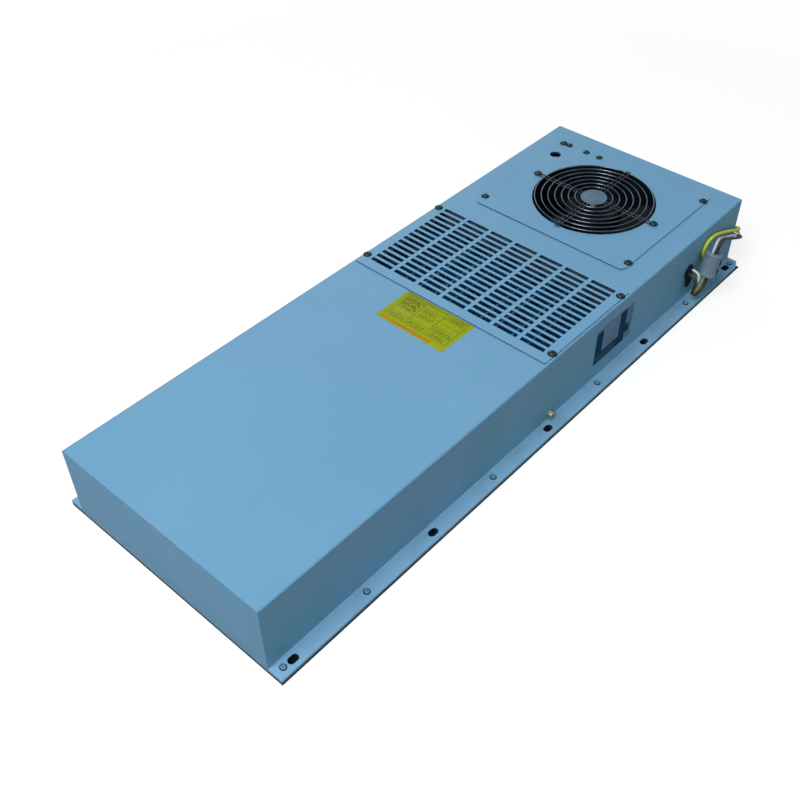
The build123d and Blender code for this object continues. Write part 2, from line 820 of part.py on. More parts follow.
with BuildPart() as earth_nut:
    with BuildSketch(side_wall.offset(-sheet)):
        with Locations((earth_x, earth_z)):
            RegularPolygon(earth_head_d / 2, 6)
            RegularPolygon(earth_screw_d / 2, shank_sides, mode=Mode.SUBTRACT)
    extrude(amount=-earth_head_h)
finish(earth_nut.part, "earth_nut")

# Rubber grommet in the side wall: two lips and a nose that the leads come out of
with BuildPart() as cable_grommet:
    with BuildSketch(Plane.XZ.offset(half_width - sheet - grommet_lip)):
        with Locations((grommet_x, grommet_z)):
            RegularPolygon(grommet_lip_r, round_sides)
    extrude(amount=grommet_lip)
    with BuildSketch(Plane.XZ.offset(half_width - sheet)):
        with Locations((grommet_x, grommet_z)):
            RegularPolygon(grommet_hole_r, round_sides)
    extrude(amount=sheet)
    with BuildSketch(side_wall):
        with Locations((grommet_x, grommet_z)):
            RegularPolygon(grommet_lip_r, round_sides)
    extrude(amount=grommet_lip)
    with BuildSketch(side_wall.offset(grommet_lip)):
        with Locations((grommet_x, grommet_z)):
            RegularPolygon(grommet_nose_r, round_sides)
    extrude(amount=grommet_nose)
finish(cable_grommet.part, "cable_grommet")

# Clip-on ferrite round two of the leads, with the third between it and the side wall. It leans, and is
# drawn upright and then put on its seat
ferrite_axis = Vector(sin(radians(ferrite_lean)), 0, cos(radians(ferrite_lean)))
ferrite_reach = 2 * ferrite_wall_gap + yellow_green_d + ferrite_r
ferrite_centre = Vector(ferrite_x, -half_width - ferrite_reach, ferrite_z)
ferrite_seat = Plane(origin=ferrite_centre, x_dir=(0, 1, 0), z_dir=ferrite_axis)
with BuildPart() as ferrite_case:
    with BuildSketch(Plane.XY.offset(-ferrite_length / 2)):
        RegularPolygon(ferrite_r, round_sides)
        RegularPolygon(ferrite_bore_r, head_sides, mode=Mode.SUBTRACT)
    extrude(amount=ferrite_length)
    with BuildSketch(Plane.XY.offset(ferrite_wall - ferrite_length / 2)):
        RegularPolygon(ferrite_r - ferrite_wall, round_sides)
    extrude(amount=ferrite_length - 2 * ferrite_wall, mode=Mode.SUBTRACT)
    with BuildSketch(Plane.XY.offset(-ferrite_length / 2)):
        Rectangle(2 * ferrite_r, ferrite_split)
    extrude(amount=ferrite_length, mode=Mode.SUBTRACT)
finish(ferrite_case.part.moved(ferrite_seat.location), "ferrite_case")

with BuildPart() as ferrite_core:
    with BuildSketch(Plane.XY.offset(ferrite_wall - ferrite_length / 2)):
        RegularPolygon(ferrite_r - ferrite_wall, round_sides)
        RegularPolygon(ferrite_core_bore_r, head_sides, mode=Mode.SUBTRACT)
        Rectangle(2 * ferrite_r, ferrite_split, mode=Mode.SUBTRACT)
    extrude(amount=ferrite_length - 2 * ferrite_wall)
finish(ferrite_core.part.moved(ferrite_seat.location), "ferrite_core")


# A lead's tube: straight runs joined by arcs as large as the runs allow
def arc_radii(points):
    corners = [Vector(*point) for point in points]
    radii = []
    for before, here, after in zip(corners, corners[1:], corners[2:]):
        first, second = here - before, after - here
        half_turn = radians(first.get_angle(second)) / 2
        radii.append(0.45 * min(first.length, second.length) * cos(half_turn) / sin(half_turn))
    return radii


def lead(name, diameter, lane_r, points):
    corners = [(half_length + x, y - half_width, z) for x, y, z in points]
    radii = arc_radii(corners)
    with BuildPart() as tube:
        with BuildLine() as route:
            FilletPolyline(*corners, radius=radii)
        with BuildSketch(Plane(origin=route.line @ 0, z_dir=route.line % 0)):
            RegularPolygon(diameter / 2, lead_sides)
        sweep()
        route_length = sum(edge.length for edge in route.edges())
        print(name, "length", round(route_length), "radii", [round(r, 1) for r in radii])
        tail_x = coil_x - lane_r
        tail_y = coil_y + sqrt(coil_outer_r**2 - lane_r**2)
        with BuildSketch(Plane.XZ.offset(-tail_y)):
            with Locations((tail_x, coil_bottom_z + diameter / 2)):
                RegularPolygon(diameter / 2, lead_sides)
        extrude(amount=tail_y - connector_start_y)
    finish(tube.part, name)


# Route points are measured from the corner of the cover beside the leads
def in_ferrite(reach, side):
    point = ferrite_centre + ferrite_axis * reach
    return (point.X - half_length, point.Y + half_width + side, point.Z)


nose_y = -grommet_lip - grommet_nose
lead(
    "lead_black",
    black_d,
    black_lane_r,
    [
        (-109.6, nose_y, 44.8),
        (-109.6, -9.0, 44.8),
        (-112.0, -15.0, 39.6),
        (-114.6, -14.6, 31.4),
        (-114.2, -14.4, 25.4),
        (-109.6, -14.8, 20.0),
        (-102.8, -15.6, 19.0),
        (-96.8, -16.6, 22.5),
        in_ferrite(-23.0, -ferrite_lead_offset),
        in_ferrite(22.5, -ferrite_lead_offset),
        (-71.4, -17.0, 76.2),
        (-64.0, -16.4, 75.8),
        (-54.6, -15.4, 69.8),
        (-33.0, -13.4, 58.0),
        (8.4, -10.8, 37.0),
        (11.6, 17.0, 31.0),
        (12.5, 47.0, 12.6),
        (12.5, 71.0, 9.6),
    ],
)
lead(
    "lead_white",
    white_d,
    white_lane_r,
    [
        (-102.8, nose_y, 46.8),
        (-102.8, -8.8, 46.8),
        (-103.0, -13.6, 42.0),
        (-103.2, -13.0, 35.4),
        (-105.8, -11.6, 29.2),
        (-103.6, -11.2, 23.6),
        (-98.0, -11.4, 21.6),
        (-93.0, -12.4, 24.8),
        in_ferrite(-17.0, ferrite_lead_offset),
        in_ferrite(21.5, ferrite_lead_offset),
        (-72.4, -12.2, 74.6),
        (-66.0, -11.2, 74.4),
        (-56.6, -10.0, 69.4),
        (-35.0, -8.8, 59.4),
        (8.6, -7.8, 41.8),
        (8.9, 19.0, 36.6),
        (8.9, 49.0, 13.6),
        (8.9, 71.0, 9.3),
    ],
)
lead(
    "lead_yellow_green",
    yellow_green_d,
    yellow_green_lane_r,
    [
        (-105.6, nose_y, 41.0),
        (-105.6, -8.8, 41.0),
        (-108.0, -14.4, 35.6),
        (-110.1, -13.4, 28.4),
        (-109.8, -10.4, 21.8),
        (-103.8, -9.8, 16.2),
        (-95.2, -9.8, 15.0),
        (-84.6, -9.8, 15.8),
        (-74.4, -8.6, 20.6),
        (-69.0, -4.6, 30.0),
        (-72.0, -2.2, 43.0),
        (-80.4, -2.2, 54.0),
        (-82.0, -2.2, 61.6),
        (-77.6, -2.8, 72.0),
        (-65.0, -3.8, 75.2),
        (-39.0, -4.6, 66.6),
        (8.6, -8.2, 47.2),
        (5.4, 21.0, 42.6),
        (5.3, 51.0, 14.8),
        (5.3, 71.0, 10.0),
    ],
)

# The put-away turns of the three leads, and the connector that they end in
with BuildPart() as lead_coil:
    with BuildSketch(Plane.XY.offset(coil_bottom_z)):
        with Locations((coil_x, coil_y)):
            RegularPolygon(coil_outer_r, coil_sides)
            RegularPolygon(coil_inner_r, coil_sides, mode=Mode.SUBTRACT)
    extrude(amount=coil_turns * lead_pitch + yellow_green_d)
finish(lead_coil.part, "lead_coil")

with BuildPart() as lead_connector:
    with BuildSketch(Plane.XZ.offset(-connector_start_y)):
        with Locations((coil_x - white_lane_r, coil_bottom_z + connector_height / 2)):
            Rectangle(connector_width, connector_height)
    extrude(amount=-connector_length)
    with BuildSketch(Plane.XZ.offset(-connector_start_y - connector_length)):
        with Locations((coil_x - white_lane_r, coil_bottom_z + connector_height / 2)):
            with GridLocations(lead_pitch + 1, 0, 3, 1):
                Rectangle(lead_pitch - 0.5, connector_height / 2)
    extrude(amount=connector_socket_depth, mode=Mode.SUBTRACT)
finish(lead_connector.part, "lead_connector")
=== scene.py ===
import json
import math
import bpy
import bmesh
from mathutils import Matrix, Vector


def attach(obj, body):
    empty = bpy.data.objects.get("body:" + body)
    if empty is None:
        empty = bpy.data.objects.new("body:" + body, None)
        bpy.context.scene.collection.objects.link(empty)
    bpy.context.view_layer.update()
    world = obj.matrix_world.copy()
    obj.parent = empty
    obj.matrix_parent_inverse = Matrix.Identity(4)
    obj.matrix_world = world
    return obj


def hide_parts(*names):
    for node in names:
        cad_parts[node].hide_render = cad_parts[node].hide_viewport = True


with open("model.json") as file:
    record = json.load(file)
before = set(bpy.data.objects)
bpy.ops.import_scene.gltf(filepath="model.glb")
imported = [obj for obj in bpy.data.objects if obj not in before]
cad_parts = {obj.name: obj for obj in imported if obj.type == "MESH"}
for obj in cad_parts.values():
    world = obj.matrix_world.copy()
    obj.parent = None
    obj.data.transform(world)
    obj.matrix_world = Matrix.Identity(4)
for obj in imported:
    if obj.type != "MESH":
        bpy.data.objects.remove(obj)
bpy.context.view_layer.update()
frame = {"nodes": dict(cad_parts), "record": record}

# Cabinet heat exchanger: materials, fastenings, guard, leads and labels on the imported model.
# Pieces are drawn in millimetres in the row frame, and MM turns them into metres.
# The camera, the shaders, the floor and the lamps are in metres.
MM = 0.001
scene = bpy.context.scene

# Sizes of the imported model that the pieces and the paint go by
half_length = 383.0
half_width = 131.0
flange_half_width = 148.0
flange_top_z = 6.0
top_z = 89.0
plate_top_z = 90.2
wall_y = -half_width
grille_x = 75.0
fan_x = 269.0
fan_screw_y = 81.0


def axes_at(x_axis, y_axis, z_axis, at):
    """The matrix that turns a piece to three axes and moves it to a place in metres."""
    return Matrix((
        (x_axis.x, y_axis.x, z_axis.x, at[0]),
        (x_axis.y, y_axis.y, z_axis.y, at[1]),
        (x_axis.z, y_axis.z, z_axis.z, at[2]),
        (0, 0, 0, 1),
    ))


# Camera, fitted to the corners of the part in the photo
camera_data = bpy.data.cameras.new("camera")
camera_data.sensor_width = 36.0
camera_data.lens = 46.51
camera_data.clip_start = 0.01
camera = bpy.data.objects.new("camera", camera_data)
scene.collection.objects.link(camera)
camera_at = (-0.6474, -0.5291, 0.7693)
view_right = Vector((0.66909, -0.7431, -0.01107)).normalized()
view_back = -Vector((0.52769, 0.48552, -0.697)).normalized()
view_up = view_back.cross(view_right)
camera.matrix_world = axes_at(view_right, view_up, view_back, camera_at)
scene.camera = camera


# Shader helpers
def put(tree, kind, inputs=None, **props):
    """A new shader node; its inputs are constants, or sockets to link, by name or number."""
    node = tree.nodes.new("ShaderNode" + kind)
    for key, value in props.items():
        setattr(node, key, value)
    for key, value in (inputs or {}).items():
        if isinstance(value, bpy.types.NodeSocket):
            tree.links.new(value, node.inputs[key])
        else:
            node.inputs[key].default_value = value
    return node


def start(name, **sockets):
    """A new material, its tree and its Principled shader, with constants on the shader's own sockets."""
    material = bpy.data.materials.new(name)
    material.use_nodes = True
    tree = material.node_tree
    shader = tree.nodes["Principled BSDF"]
    for key, value in sockets.items():
        shader.inputs[key.replace("_", " ")].default_value = value
    return material, tree, shader


def place(tree, stretch=(1, 1, 1), turn=(0, 0, 0), source="Object"):
    """The coordinates that a texture goes by, stretched and turned where asked."""
    where = put(tree, "TexCoord").outputs[source]
    if stretch == (1, 1, 1) and turn == (0, 0, 0):
        return where
    return put(tree, "Mapping", {"Vector": where, "Scale": stretch, "Rotation": turn}).outputs["Vector"]


def noise(tree, where, scale, detail=3.0, roughness=0.55, distortion=0.0):
    return put(tree, "TexNoise", {
        "Vector": where, "Scale": scale, "Detail": detail, "Roughness": roughness, "Distortion": distortion,
    }).outputs["Fac"]


def span(tree, value, low, high, to_low=0.0, to_high=1.0):
    return put(tree, "MapRange", {
        "Value": value, "From Min": low, "From Max": high, "To Min": to_low, "To Max": to_high,
    }).outputs["Result"]


def blend_colour(tree, factor, first, second):
    """A mix of two colours, which a colour Mix node has at inputs 6 and 7, with its result at output 2."""
    node = tree.nodes.new("ShaderNodeMix")
    node.data_type = "RGBA"
    for index, value in ((0, factor), (6, first), (7, second)):
        if isinstance(value, bpy.types.NodeSocket):
            tree.links.new(value, node.inputs[index])
        elif index:
            node.inputs[index].default_value = (*value, 1.0)
        else:
            node.inputs[index].default_value = value
    return node.outputs[2]


def maths(tree, how, *values):
    return put(tree, "Math", dict(enumerate(values)), operation=how).outputs["Value"]


def times(tree, *factors):
    product = factors[0]
    for factor in factors[1:]:
        product = maths(tree, "MULTIPLY", product, factor)
    return product


def above(tree, value, limit):
    return maths(tree, "GREATER_THAN", value, limit)


def below(tree, value, limit):
    return maths(tree, "LESS_THAN", value, limit)


def either(tree, first, second):
    return maths(tree, "MAXIMUM", first, second)


def size_of(tree, value):
    return maths(tree, "ABSOLUTE", value)


def bumped(tree, shader, layers):
    """Relief of layers, each (height, strength, distance), one on top of the other."""
    normal = None
    for height, strength, distance in layers:
        inputs = {"Height": height, "Strength": strength, "Distance": distance}
        if normal is not None:
            inputs["Normal"] = normal
        normal = put(tree, "Bump", inputs).outputs["Normal"]
    tree.links.new(normal, shader.inputs["Normal"])


def drive(tree, shader, **sockets):
    for key, value in sockets.items():
        tree.links.new(value, shader.inputs[key.replace("_", " ")])


# Materials
def paint():
    """The blue paint; masks by place and slope pick out its walls, flanges, cut edges and far bend, where
    reflections, light and shade are painted.
    """
    material, tree, shader = start(
        "blue_paint", Specular_IOR_Level=0.32, Coat_Weight=0.05, Coat_Roughness=0.25)
    where = place(tree)
    spot = put(tree, "SeparateXYZ", {"Vector": where})
    height = spot.outputs["Z"]
    lengthways = size_of(tree, spot.outputs["X"])
    sideways = size_of(tree, spot.outputs["Y"])
    facing = put(tree, "SeparateXYZ", {"Vector": place(tree, source="Normal")})
    steep = below(tree, size_of(tree, facing.outputs["Z"]), 0.5)
    level = below(tree, steep, 0.5)
    long_wall = above(tree, size_of(tree, facing.outputs["Y"]), 0.5)

    cloud = span(tree, noise(tree, where, 3.1, 4.0, 0.6, 0.4), 0.3, 0.7)
    colour = blend_colour(tree, cloud, (0.140, 0.335, 0.530), (0.158, 0.362, 0.560))
    smear = noise(tree, place(tree, (1.0, 1.6, 3.0)), 9.0, 5.0, 0.65, 1.6)
    colour = blend_colour(tree, span(tree, smear, 0.52, 0.80, 0.0, 0.40), colour, (0.135, 0.360, 0.460))

    # Painted reflection: greener patches on the long walls, weaker towards the top
    painted_reflection = noise(tree, place(tree, (1.0, 1.0, 0.5)), 6.5, 2.0, 0.5, 0.4)
    painted_reflection = span(tree, painted_reflection, 0.42, 0.62, 0.0, 0.55)
    fading = span(tree, height, 0.02, 0.085, 1.0, 0.35)
    colour = blend_colour(tree, times(tree, long_wall, painted_reflection, fading), colour, (0.098, 0.325, 0.430))

    # Painted light: the flanges are lighter
    lit_flange = times(tree, below(tree, height, (flange_top_z + 0.8) * MM), level)
    colour = blend_colour(tree, lit_flange, colour, (0.215, 0.430, 0.640))

    # Darker patches low down, dark specks and light rubs
    near_foot = span(tree, height, 0.004, 0.030, 1.0, 0.0)
    low_patches = span(tree, noise(tree, where, 26.0, 5.0, 0.7), 0.45, 0.75, 0.0, 0.45)
    colour = blend_colour(tree, times(tree, near_foot, low_patches), colour, (0.115, 0.235, 0.290))
    speck = span(tree, noise(tree, where, 520.0, 2.0, 0.5), 0.735, 0.78, 0.0, 0.35)
    colour = blend_colour(tree, speck, colour, (0.08, 0.17, 0.26))
    rub = noise(tree, place(tree, (3.0, 40.0, 40.0), (0.0, 0.0, 0.5)), 14.0, 3.0, 0.6)
    colour = blend_colour(tree, span(tree, rub, 0.72, 0.76, 0.0, 0.16), colour, (0.30, 0.50, 0.68))

    # Painted shade on the cut walls of the slots and holes in the top and in the flanges
    off_ends = below(tree, lengthways, (half_length - 2.0) * MM)
    off_walls = below(tree, sideways, (half_width - 1.4) * MM)
    in_top = above(tree, height, (top_z - 1.8) * MM)
    punched = times(tree, steep, off_ends, off_walls, in_top)
    past_wall = above(tree, sideways, (half_width + 1.0) * MM)
    off_rim = below(tree, sideways, (flange_half_width - 0.6) * MM)
    off_tips = below(tree, lengthways, (half_length - 0.5) * MM)
    slotted = times(tree, steep, past_wall, off_rim, off_tips)
    slot_wall_shade = times(tree, either(tree, punched, slotted), 0.9)
    colour = blend_colour(tree, slot_wall_shade, colour, (0.004, 0.024, 0.056))

    # Painted shade along the bend between the top and the far wall
    at_far_wall = above(tree, spot.outputs["Y"], (half_width - 1.6) * MM)
    at_bend = above(tree, height, (top_z - 2.5) * MM)
    colour = blend_colour(tree, times(tree, at_far_wall, at_bend, 0.75), colour, (0.020, 0.060, 0.090))

    rough = span(tree, noise(tree, where, 24.0, 4.0, 0.6), 0.3, 0.7, 0.38, 0.54)
    drive(tree, shader, Base_Color=colour, Roughness=rough)
    bumped(tree, shader, [
        (noise(tree, where, 5.5, 2.0, 0.4), 0.35, 0.0016),
        (noise(tree, where, 620.0, 2.0, 0.5), 0.22, 0.00006),
    ])
    return material


def plain(name, dark, light, scale, rough, metallic=0.0, *, grain, relief, stretch=(1, 1, 1),
          speckle=None, **sockets):
    """Clouds of two tones; rough is a range of roughness, relief the strength and depth of the grain."""
    material, tree, shader = start(name, Metallic=metallic, **sockets)
    where = place(tree, stretch)
    cloud = noise(tree, where, scale, 4.0, 0.6, 0.3)
    colour = blend_colour(tree, span(tree, cloud, 0.32, 0.68), dark, light)
    if speckle:
        spots = span(tree, noise(tree, where, grain * 0.5, 2.0, 0.5), 0.66, 0.74, 0.0, 0.6)
        colour = blend_colour(tree, spots, colour, speckle)
    wear = span(tree, noise(tree, where, scale * 5.0, 4.0, 0.65), 0.3, 0.7, *rough)
    drive(tree, shader, Base_Color=colour, Roughness=wear)
    bumped(tree, shader, [(noise(tree, where, grain, 3.0, 0.6), *relief)])
    return material


def zinc():
    """Galvanised sheet with its flakes and stains, its tones darkened and blued as painted shade."""
    material, tree, shader = start("zinc_sheet", Metallic=0.5)
    where = place(tree)
    flake = put(tree, "TexVoronoi", {"Vector": where, "Scale": 110.0, "Randomness": 1.0})
    tone = put(tree, "SeparateColor", {"Color": flake.outputs["Color"]}).outputs["Red"]
    # Darker and bluer tones than bare zinc: painted shade for the sheets that sit inside the housing
    colour = blend_colour(tree, tone, (0.110, 0.170, 0.240), (0.190, 0.265, 0.350))
    stain = span(tree, noise(tree, where, 12.0, 5.0, 0.7, 0.8), 0.5, 0.75, 0.0, 0.4)
    colour = blend_colour(tree, stain, colour, (0.085, 0.130, 0.180))
    drive(tree, shader, Base_Color=colour, Roughness=span(tree, tone, 0.0, 1.0, 0.32, 0.52))
    bumped(tree, shader, [
        (flake.outputs["Distance"], 0.12, 0.0002),
        (noise(tree, where, 900.0), 0.2, 0.00003),
    ])
    return material


def foam():
    material, tree, shader = start("foam", Specular_IOR_Level=0.25)
    where = place(tree)
    cell = put(tree, "TexVoronoi", {"Vector": where, "Scale": 900.0}).outputs["Distance"]
    colour = blend_colour(tree, span(tree, cell, 0.1, 0.6), (0.010, 0.010, 0.012), (0.040, 0.040, 0.044))
    rough = span(tree, noise(tree, where, 60.0), 0.3, 0.7, 0.78, 0.95)
    drive(tree, shader, Base_Color=colour, Roughness=rough)
    bumped(tree, shader, [(cell, 0.6, 0.0004)])
    return material


def winding():
    """Copper wire, one turn above the other."""
    material, tree, shader = start("winding", Metallic=0.7)
    turns = put(tree, "TexWave", {
        "Vector": place(tree, (0, 0, 1)), "Scale": 420.0, "Distortion": 0.6, "Detail": 2.0,
    }).outputs["Fac"]
    tint = span(tree, noise(tree, place(tree), 30.0, 4.0, 0.6), 0.3, 0.7)
    colour = blend_colour(tree, times(tree, turns, tint), (0.20, 0.075, 0.030), (0.62, 0.30, 0.13))
    drive(tree, shader, Base_Color=colour, Roughness=span(tree, tint, 0.0, 1.0, 0.28, 0.42))
    bumped(tree, shader, [(turns, 0.5, 0.0003)])
    return material


def striped_sheath():
    """Yellow with green stripes along the lead."""
    material, tree, shader = start("yellow_green_sheath", Specular_IOR_Level=0.5, Coat_Weight=0.15)
    along = put(tree, "SeparateXYZ", {"Vector": place(tree, source="UV")}).outputs["Y"]
    wave = maths(tree, "SINE", times(tree, along, 2 * math.pi))
    grime = noise(tree, place(tree), 90.0, 4.0, 0.6)
    green = blend_colour(tree, span(tree, grime, 0.3, 0.7), (0.040, 0.130, 0.030), (0.060, 0.190, 0.040))
    yellow = blend_colour(tree, span(tree, grime, 0.3, 0.7), (0.56, 0.60, 0.020), (0.72, 0.74, 0.040))
    colour = blend_colour(tree, span(tree, wave, 0.48, 0.64), yellow, green)
    drive(tree, shader, Base_Color=colour, Roughness=span(tree, grime, 0.3, 0.7, 0.36, 0.52))
    bumped(tree, shader, [(noise(tree, place(tree), 1200.0), 0.2, 0.00003)])
    return material


def laminate():
    """Green circuit board with its tracks under the resist."""
    material, tree, shader = start("board", Coat_Weight=0.3, Coat_Roughness=0.2)
    where = place(tree)
    tracks = put(tree, "TexBrick", {
        "Vector": where, "Scale": 60.0, "Mortar Size": 0.035, "Mortar Smooth": 0.1,
        "Color1": (1, 1, 1, 1), "Color2": (1, 1, 1, 1), "Mortar": (0, 0, 0, 1),
    }).outputs["Fac"]
    weave = noise(tree, place(tree, (1.0, 8.0, 1.0)), 500.0)
    resist = blend_colour(tree, span(tree, weave, 0.3, 0.7), (0.018, 0.125, 0.050), (0.026, 0.165, 0.065))
    colour = blend_colour(tree, tracks, resist, (0.050, 0.260, 0.105))
    drive(tree, shader, Base_Color=colour, Roughness=span(tree, weave, 0.3, 0.7, 0.32, 0.46))
    bumped(tree, shader, [(tracks, 0.3, 0.00006), (weave, 0.2, 0.00003)])
    return material


materials = {
    "blue_paint": paint(),
    "black_paint": plain("black_paint", (0.002, 0.005, 0.010), (0.006, 0.012, 0.020), 40.0, (0.50, 0.68),
                         grain=700.0, relief=(0.3, 0.00008), Specular_IOR_Level=0.12),
    "zinc_sheet": zinc(),
    "steel": plain("steel", (0.40, 0.41, 0.43), (0.58, 0.59, 0.61), 60.0, (0.24, 0.42), 1.0,
                   grain=900.0, stretch=(1, 1, 9), relief=(0.2, 0.00003)),
    "screw_steel": plain("screw_steel", (0.024, 0.058, 0.070), (0.060, 0.108, 0.122), 140.0, (0.20, 0.34),
                         0.8, grain=1100.0, relief=(0.2, 0.00003)),
    "guard_wire": plain("guard_wire", (0.090, 0.112, 0.145), (0.190, 0.220, 0.275), 70.0, (0.16, 0.28), 1.0,
                        grain=1300.0, relief=(0.15, 0.00003), speckle=(0.05, 0.06, 0.07)),
    "core_aluminium": plain("core_aluminium", (0.010, 0.105, 0.260), (0.018, 0.150, 0.340), 35.0,
                            (0.42, 0.60), 0.1, grain=800.0, stretch=(1, 1, 12), relief=(0.25, 0.00004)),
    "foam": foam(),
    "black_rubber": plain("black_rubber", (0.004, 0.006, 0.010), (0.010, 0.014, 0.020), 90.0, (0.50, 0.70),
                          grain=1400.0, relief=(0.35, 0.00006), speckle=(0.02, 0.025, 0.03),
                          Specular_IOR_Level=0.15),
    "winding": winding(),
    "board": laminate(),
    "board_parts": plain("board_parts", (0.022, 0.030, 0.040), (0.045, 0.055, 0.070), 90.0, (0.30, 0.44),
                         grain=1300.0, relief=(0.25, 0.00004)),
    "terminal": plain("terminal", (0.045, 0.220, 0.085), (0.080, 0.310, 0.120), 90.0, (0.30, 0.44),
                      grain=1300.0, relief=(0.25, 0.00004)),
    "trimmer": plain("trimmer", (0.080, 0.150, 0.420), (0.120, 0.220, 0.540), 150.0, (0.28, 0.40),
                     grain=1500.0, relief=(0.25, 0.00004)),
    "earth_metal": plain("earth_metal", (0.42, 0.40, 0.26), (0.60, 0.57, 0.36), 150.0, (0.26, 0.42), 0.9,
                         grain=1300.0, relief=(0.25, 0.00004)),
    "ferrite_shell": plain("ferrite_shell", (0.120, 0.190, 0.245), (0.175, 0.260, 0.330), 110.0, (0.34, 0.50),
                           grain=1500.0, relief=(0.30, 0.00006), Specular_IOR_Level=0.5),
    "ferrite": plain("ferrite", (0.035, 0.036, 0.040), (0.080, 0.082, 0.088), 160.0, (0.45, 0.70),
                     grain=1200.0, relief=(0.45, 0.00010), speckle=(0.12, 0.12, 0.13)),
    "black_sheath": plain("black_sheath", (0.012, 0.012, 0.014), (0.030, 0.030, 0.034), 60.0, (0.34, 0.50),
                          grain=1500.0, relief=(0.2, 0.00003), Specular_IOR_Level=0.5, Coat_Weight=0.1),
    "white_sheath": plain("white_sheath", (0.52, 0.60, 0.60), (0.68, 0.75, 0.74), 60.0, (0.34, 0.50),
                          grain=1500.0, relief=(0.2, 0.00003), speckle=(0.42, 0.47, 0.47), Coat_Weight=0.1),
    "yellow_green_sheath": striped_sheath(),
    "connector": plain("connector", (0.66, 0.66, 0.61), (0.78, 0.78, 0.73), 120.0, (0.30, 0.44),
                       grain=1500.0, relief=(0.25, 0.00004), Subsurface_Weight=0.05),
}

# Finishes of pieces that no node stands for
label_yellow = plain("label_yellow", (0.265, 0.325, 0.006), (0.315, 0.375, 0.010), 26.0, (0.46, 0.60),
                     grain=900.0, relief=(0.2, 0.00003), speckle=(0.23, 0.28, 0.02), Specular_IOR_Level=0.15)
label_orange = plain("label_orange", (0.350, 0.180, 0.008), (0.430, 0.230, 0.012), 40.0, (0.46, 0.60),
                     grain=900.0, relief=(0.2, 0.00003), Specular_IOR_Level=0.15)
label_rule = plain("label_rule", (0.030, 0.065, 0.002), (0.060, 0.105, 0.004), 120.0, (0.46, 0.60),
                   grain=900.0, relief=(0.2, 0.00002), Specular_IOR_Level=0.15)
plate_light = plain("plate_light", (0.105, 0.225, 0.370), (0.135, 0.265, 0.420), 45.0, (0.40, 0.54),
                    grain=900.0, relief=(0.2, 0.00003), stretch=(1, 1, 6), Specular_IOR_Level=0.25)
plate_dark = plain("plate_dark", (0.004, 0.034, 0.085), (0.008, 0.046, 0.110), 70.0, (0.50, 0.64),
                   grain=900.0, relief=(0.2, 0.00003), Specular_IOR_Level=0.05)
plate_mid = plain("plate_mid", (0.045, 0.115, 0.215), (0.065, 0.145, 0.255), 70.0, (0.40, 0.54),
                  grain=900.0, relief=(0.2, 0.00003), Specular_IOR_Level=0.25)
# Painted shade for the rims and recesses of the screw heads and for their washers
screw_shade = plain("screw_shade", (0.006, 0.022, 0.030), (0.014, 0.038, 0.048), 150.0, (0.40, 0.56),
                    grain=1100.0, relief=(0.25, 0.00003), Specular_IOR_Level=0.3)
head_blue = plain("head_blue", (0.120, 0.280, 0.440), (0.150, 0.320, 0.490), 120.0, (0.40, 0.54),
                  grain=1300.0, relief=(0.2, 0.00003), Specular_IOR_Level=0.3)
disc_coat = plain("disc_coat", (0.070, 0.140, 0.210), (0.100, 0.180, 0.255), 90.0, (0.34, 0.50),
                  grain=1300.0, relief=(0.2, 0.00003), Specular_IOR_Level=0.35)
tie_nylon = plain("tie_nylon", (0.012, 0.012, 0.013), (0.030, 0.030, 0.032), 200.0, (0.35, 0.50),
                  grain=1600.0, relief=(0.2, 0.00003))

slot_of = {row["node"]: row["material_slot"] for row in frame["record"]["subparts"]}
for node_name, node_object in frame["nodes"].items():
    for material_slot in node_object.material_slots:
        material_slot.material = materials[slot_of[node_name]]


def tube(name, runs, kind, radius, roundness, slot, stands_for):
    """One curve of round wires along runs, each (points, closed), in the place of plain nodes."""
    data = bpy.data.curves.new(name, "CURVE")
    data.dimensions = "3D"
    data.bevel_depth = radius * MM
    data.bevel_resolution = roundness
    data.resolution_u = 8
    data.use_fill_caps = True
    for points, closed in runs:
        spline = data.splines.new(kind)
        spline.points.add(len(points) - 1)
        for spot, (x, y, z) in zip(spline.points, points):
            spot.co = (x * MM, y * MM, z * MM, 1.0)
        spline.use_cyclic_u = closed
        if kind == "NURBS":
            spline.order_u = 3
            spline.use_endpoint_u = True
    data.materials.append(materials[slot])
    piece = bpy.data.objects.new(name, data)
    scene.collection.objects.link(piece)
    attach(piece, "housing")
    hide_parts(*stands_for)
    return piece


# Leads, each one smooth curve from the grommet to the corner and into the put-away turns
coil_x = 419.9
coil_y = -45.0
coil_turns = 2
coil_steps = 18
lead_pitch = 3.9
# A turn sinks onto the next one from this share of it on, and over that share of it
drop_from = 0.45
drop_share = 0.5
last_bend_y = coil_y + 14.0
connector_start_y = -17.0
lead_end_y = connector_start_y + 1.0
tie_angle = 270.0
tie_lift = 0.6
tie_lift_reach = 28.0


def smooth_step(value):
    value = min(1.0, max(0.0, value))
    return value * value * (3 - 2 * value)


def coil_points(lane_r, radius):
    """The turns of one lead on its lane, from the top down; each drops to the next and rises over the tie."""
    points = []
    # A curve runs inside its points, so they lie a little outside the lane
    point_r = lane_r * (1.0 / math.cos(math.pi / coil_steps) ** 0.5)
    for n in range(coil_turns * coil_steps + 1):
        turn, rest = divmod(n, coil_steps)
        drop = turn + smooth_step((rest / coil_steps - drop_from) / drop_share)
        angle = math.radians(180.0 - 360.0 * n / coil_steps)
        off_tie = abs((math.degrees(angle) % 360.0) - tie_angle)
        lift = tie_lift * math.exp(-(off_tie / tie_lift_reach) ** 2)
        z = radius + (coil_turns - drop) * lead_pitch + lift
        points.append((coil_x + point_r * math.cos(angle), coil_y + point_r * math.sin(angle), z))
    return points


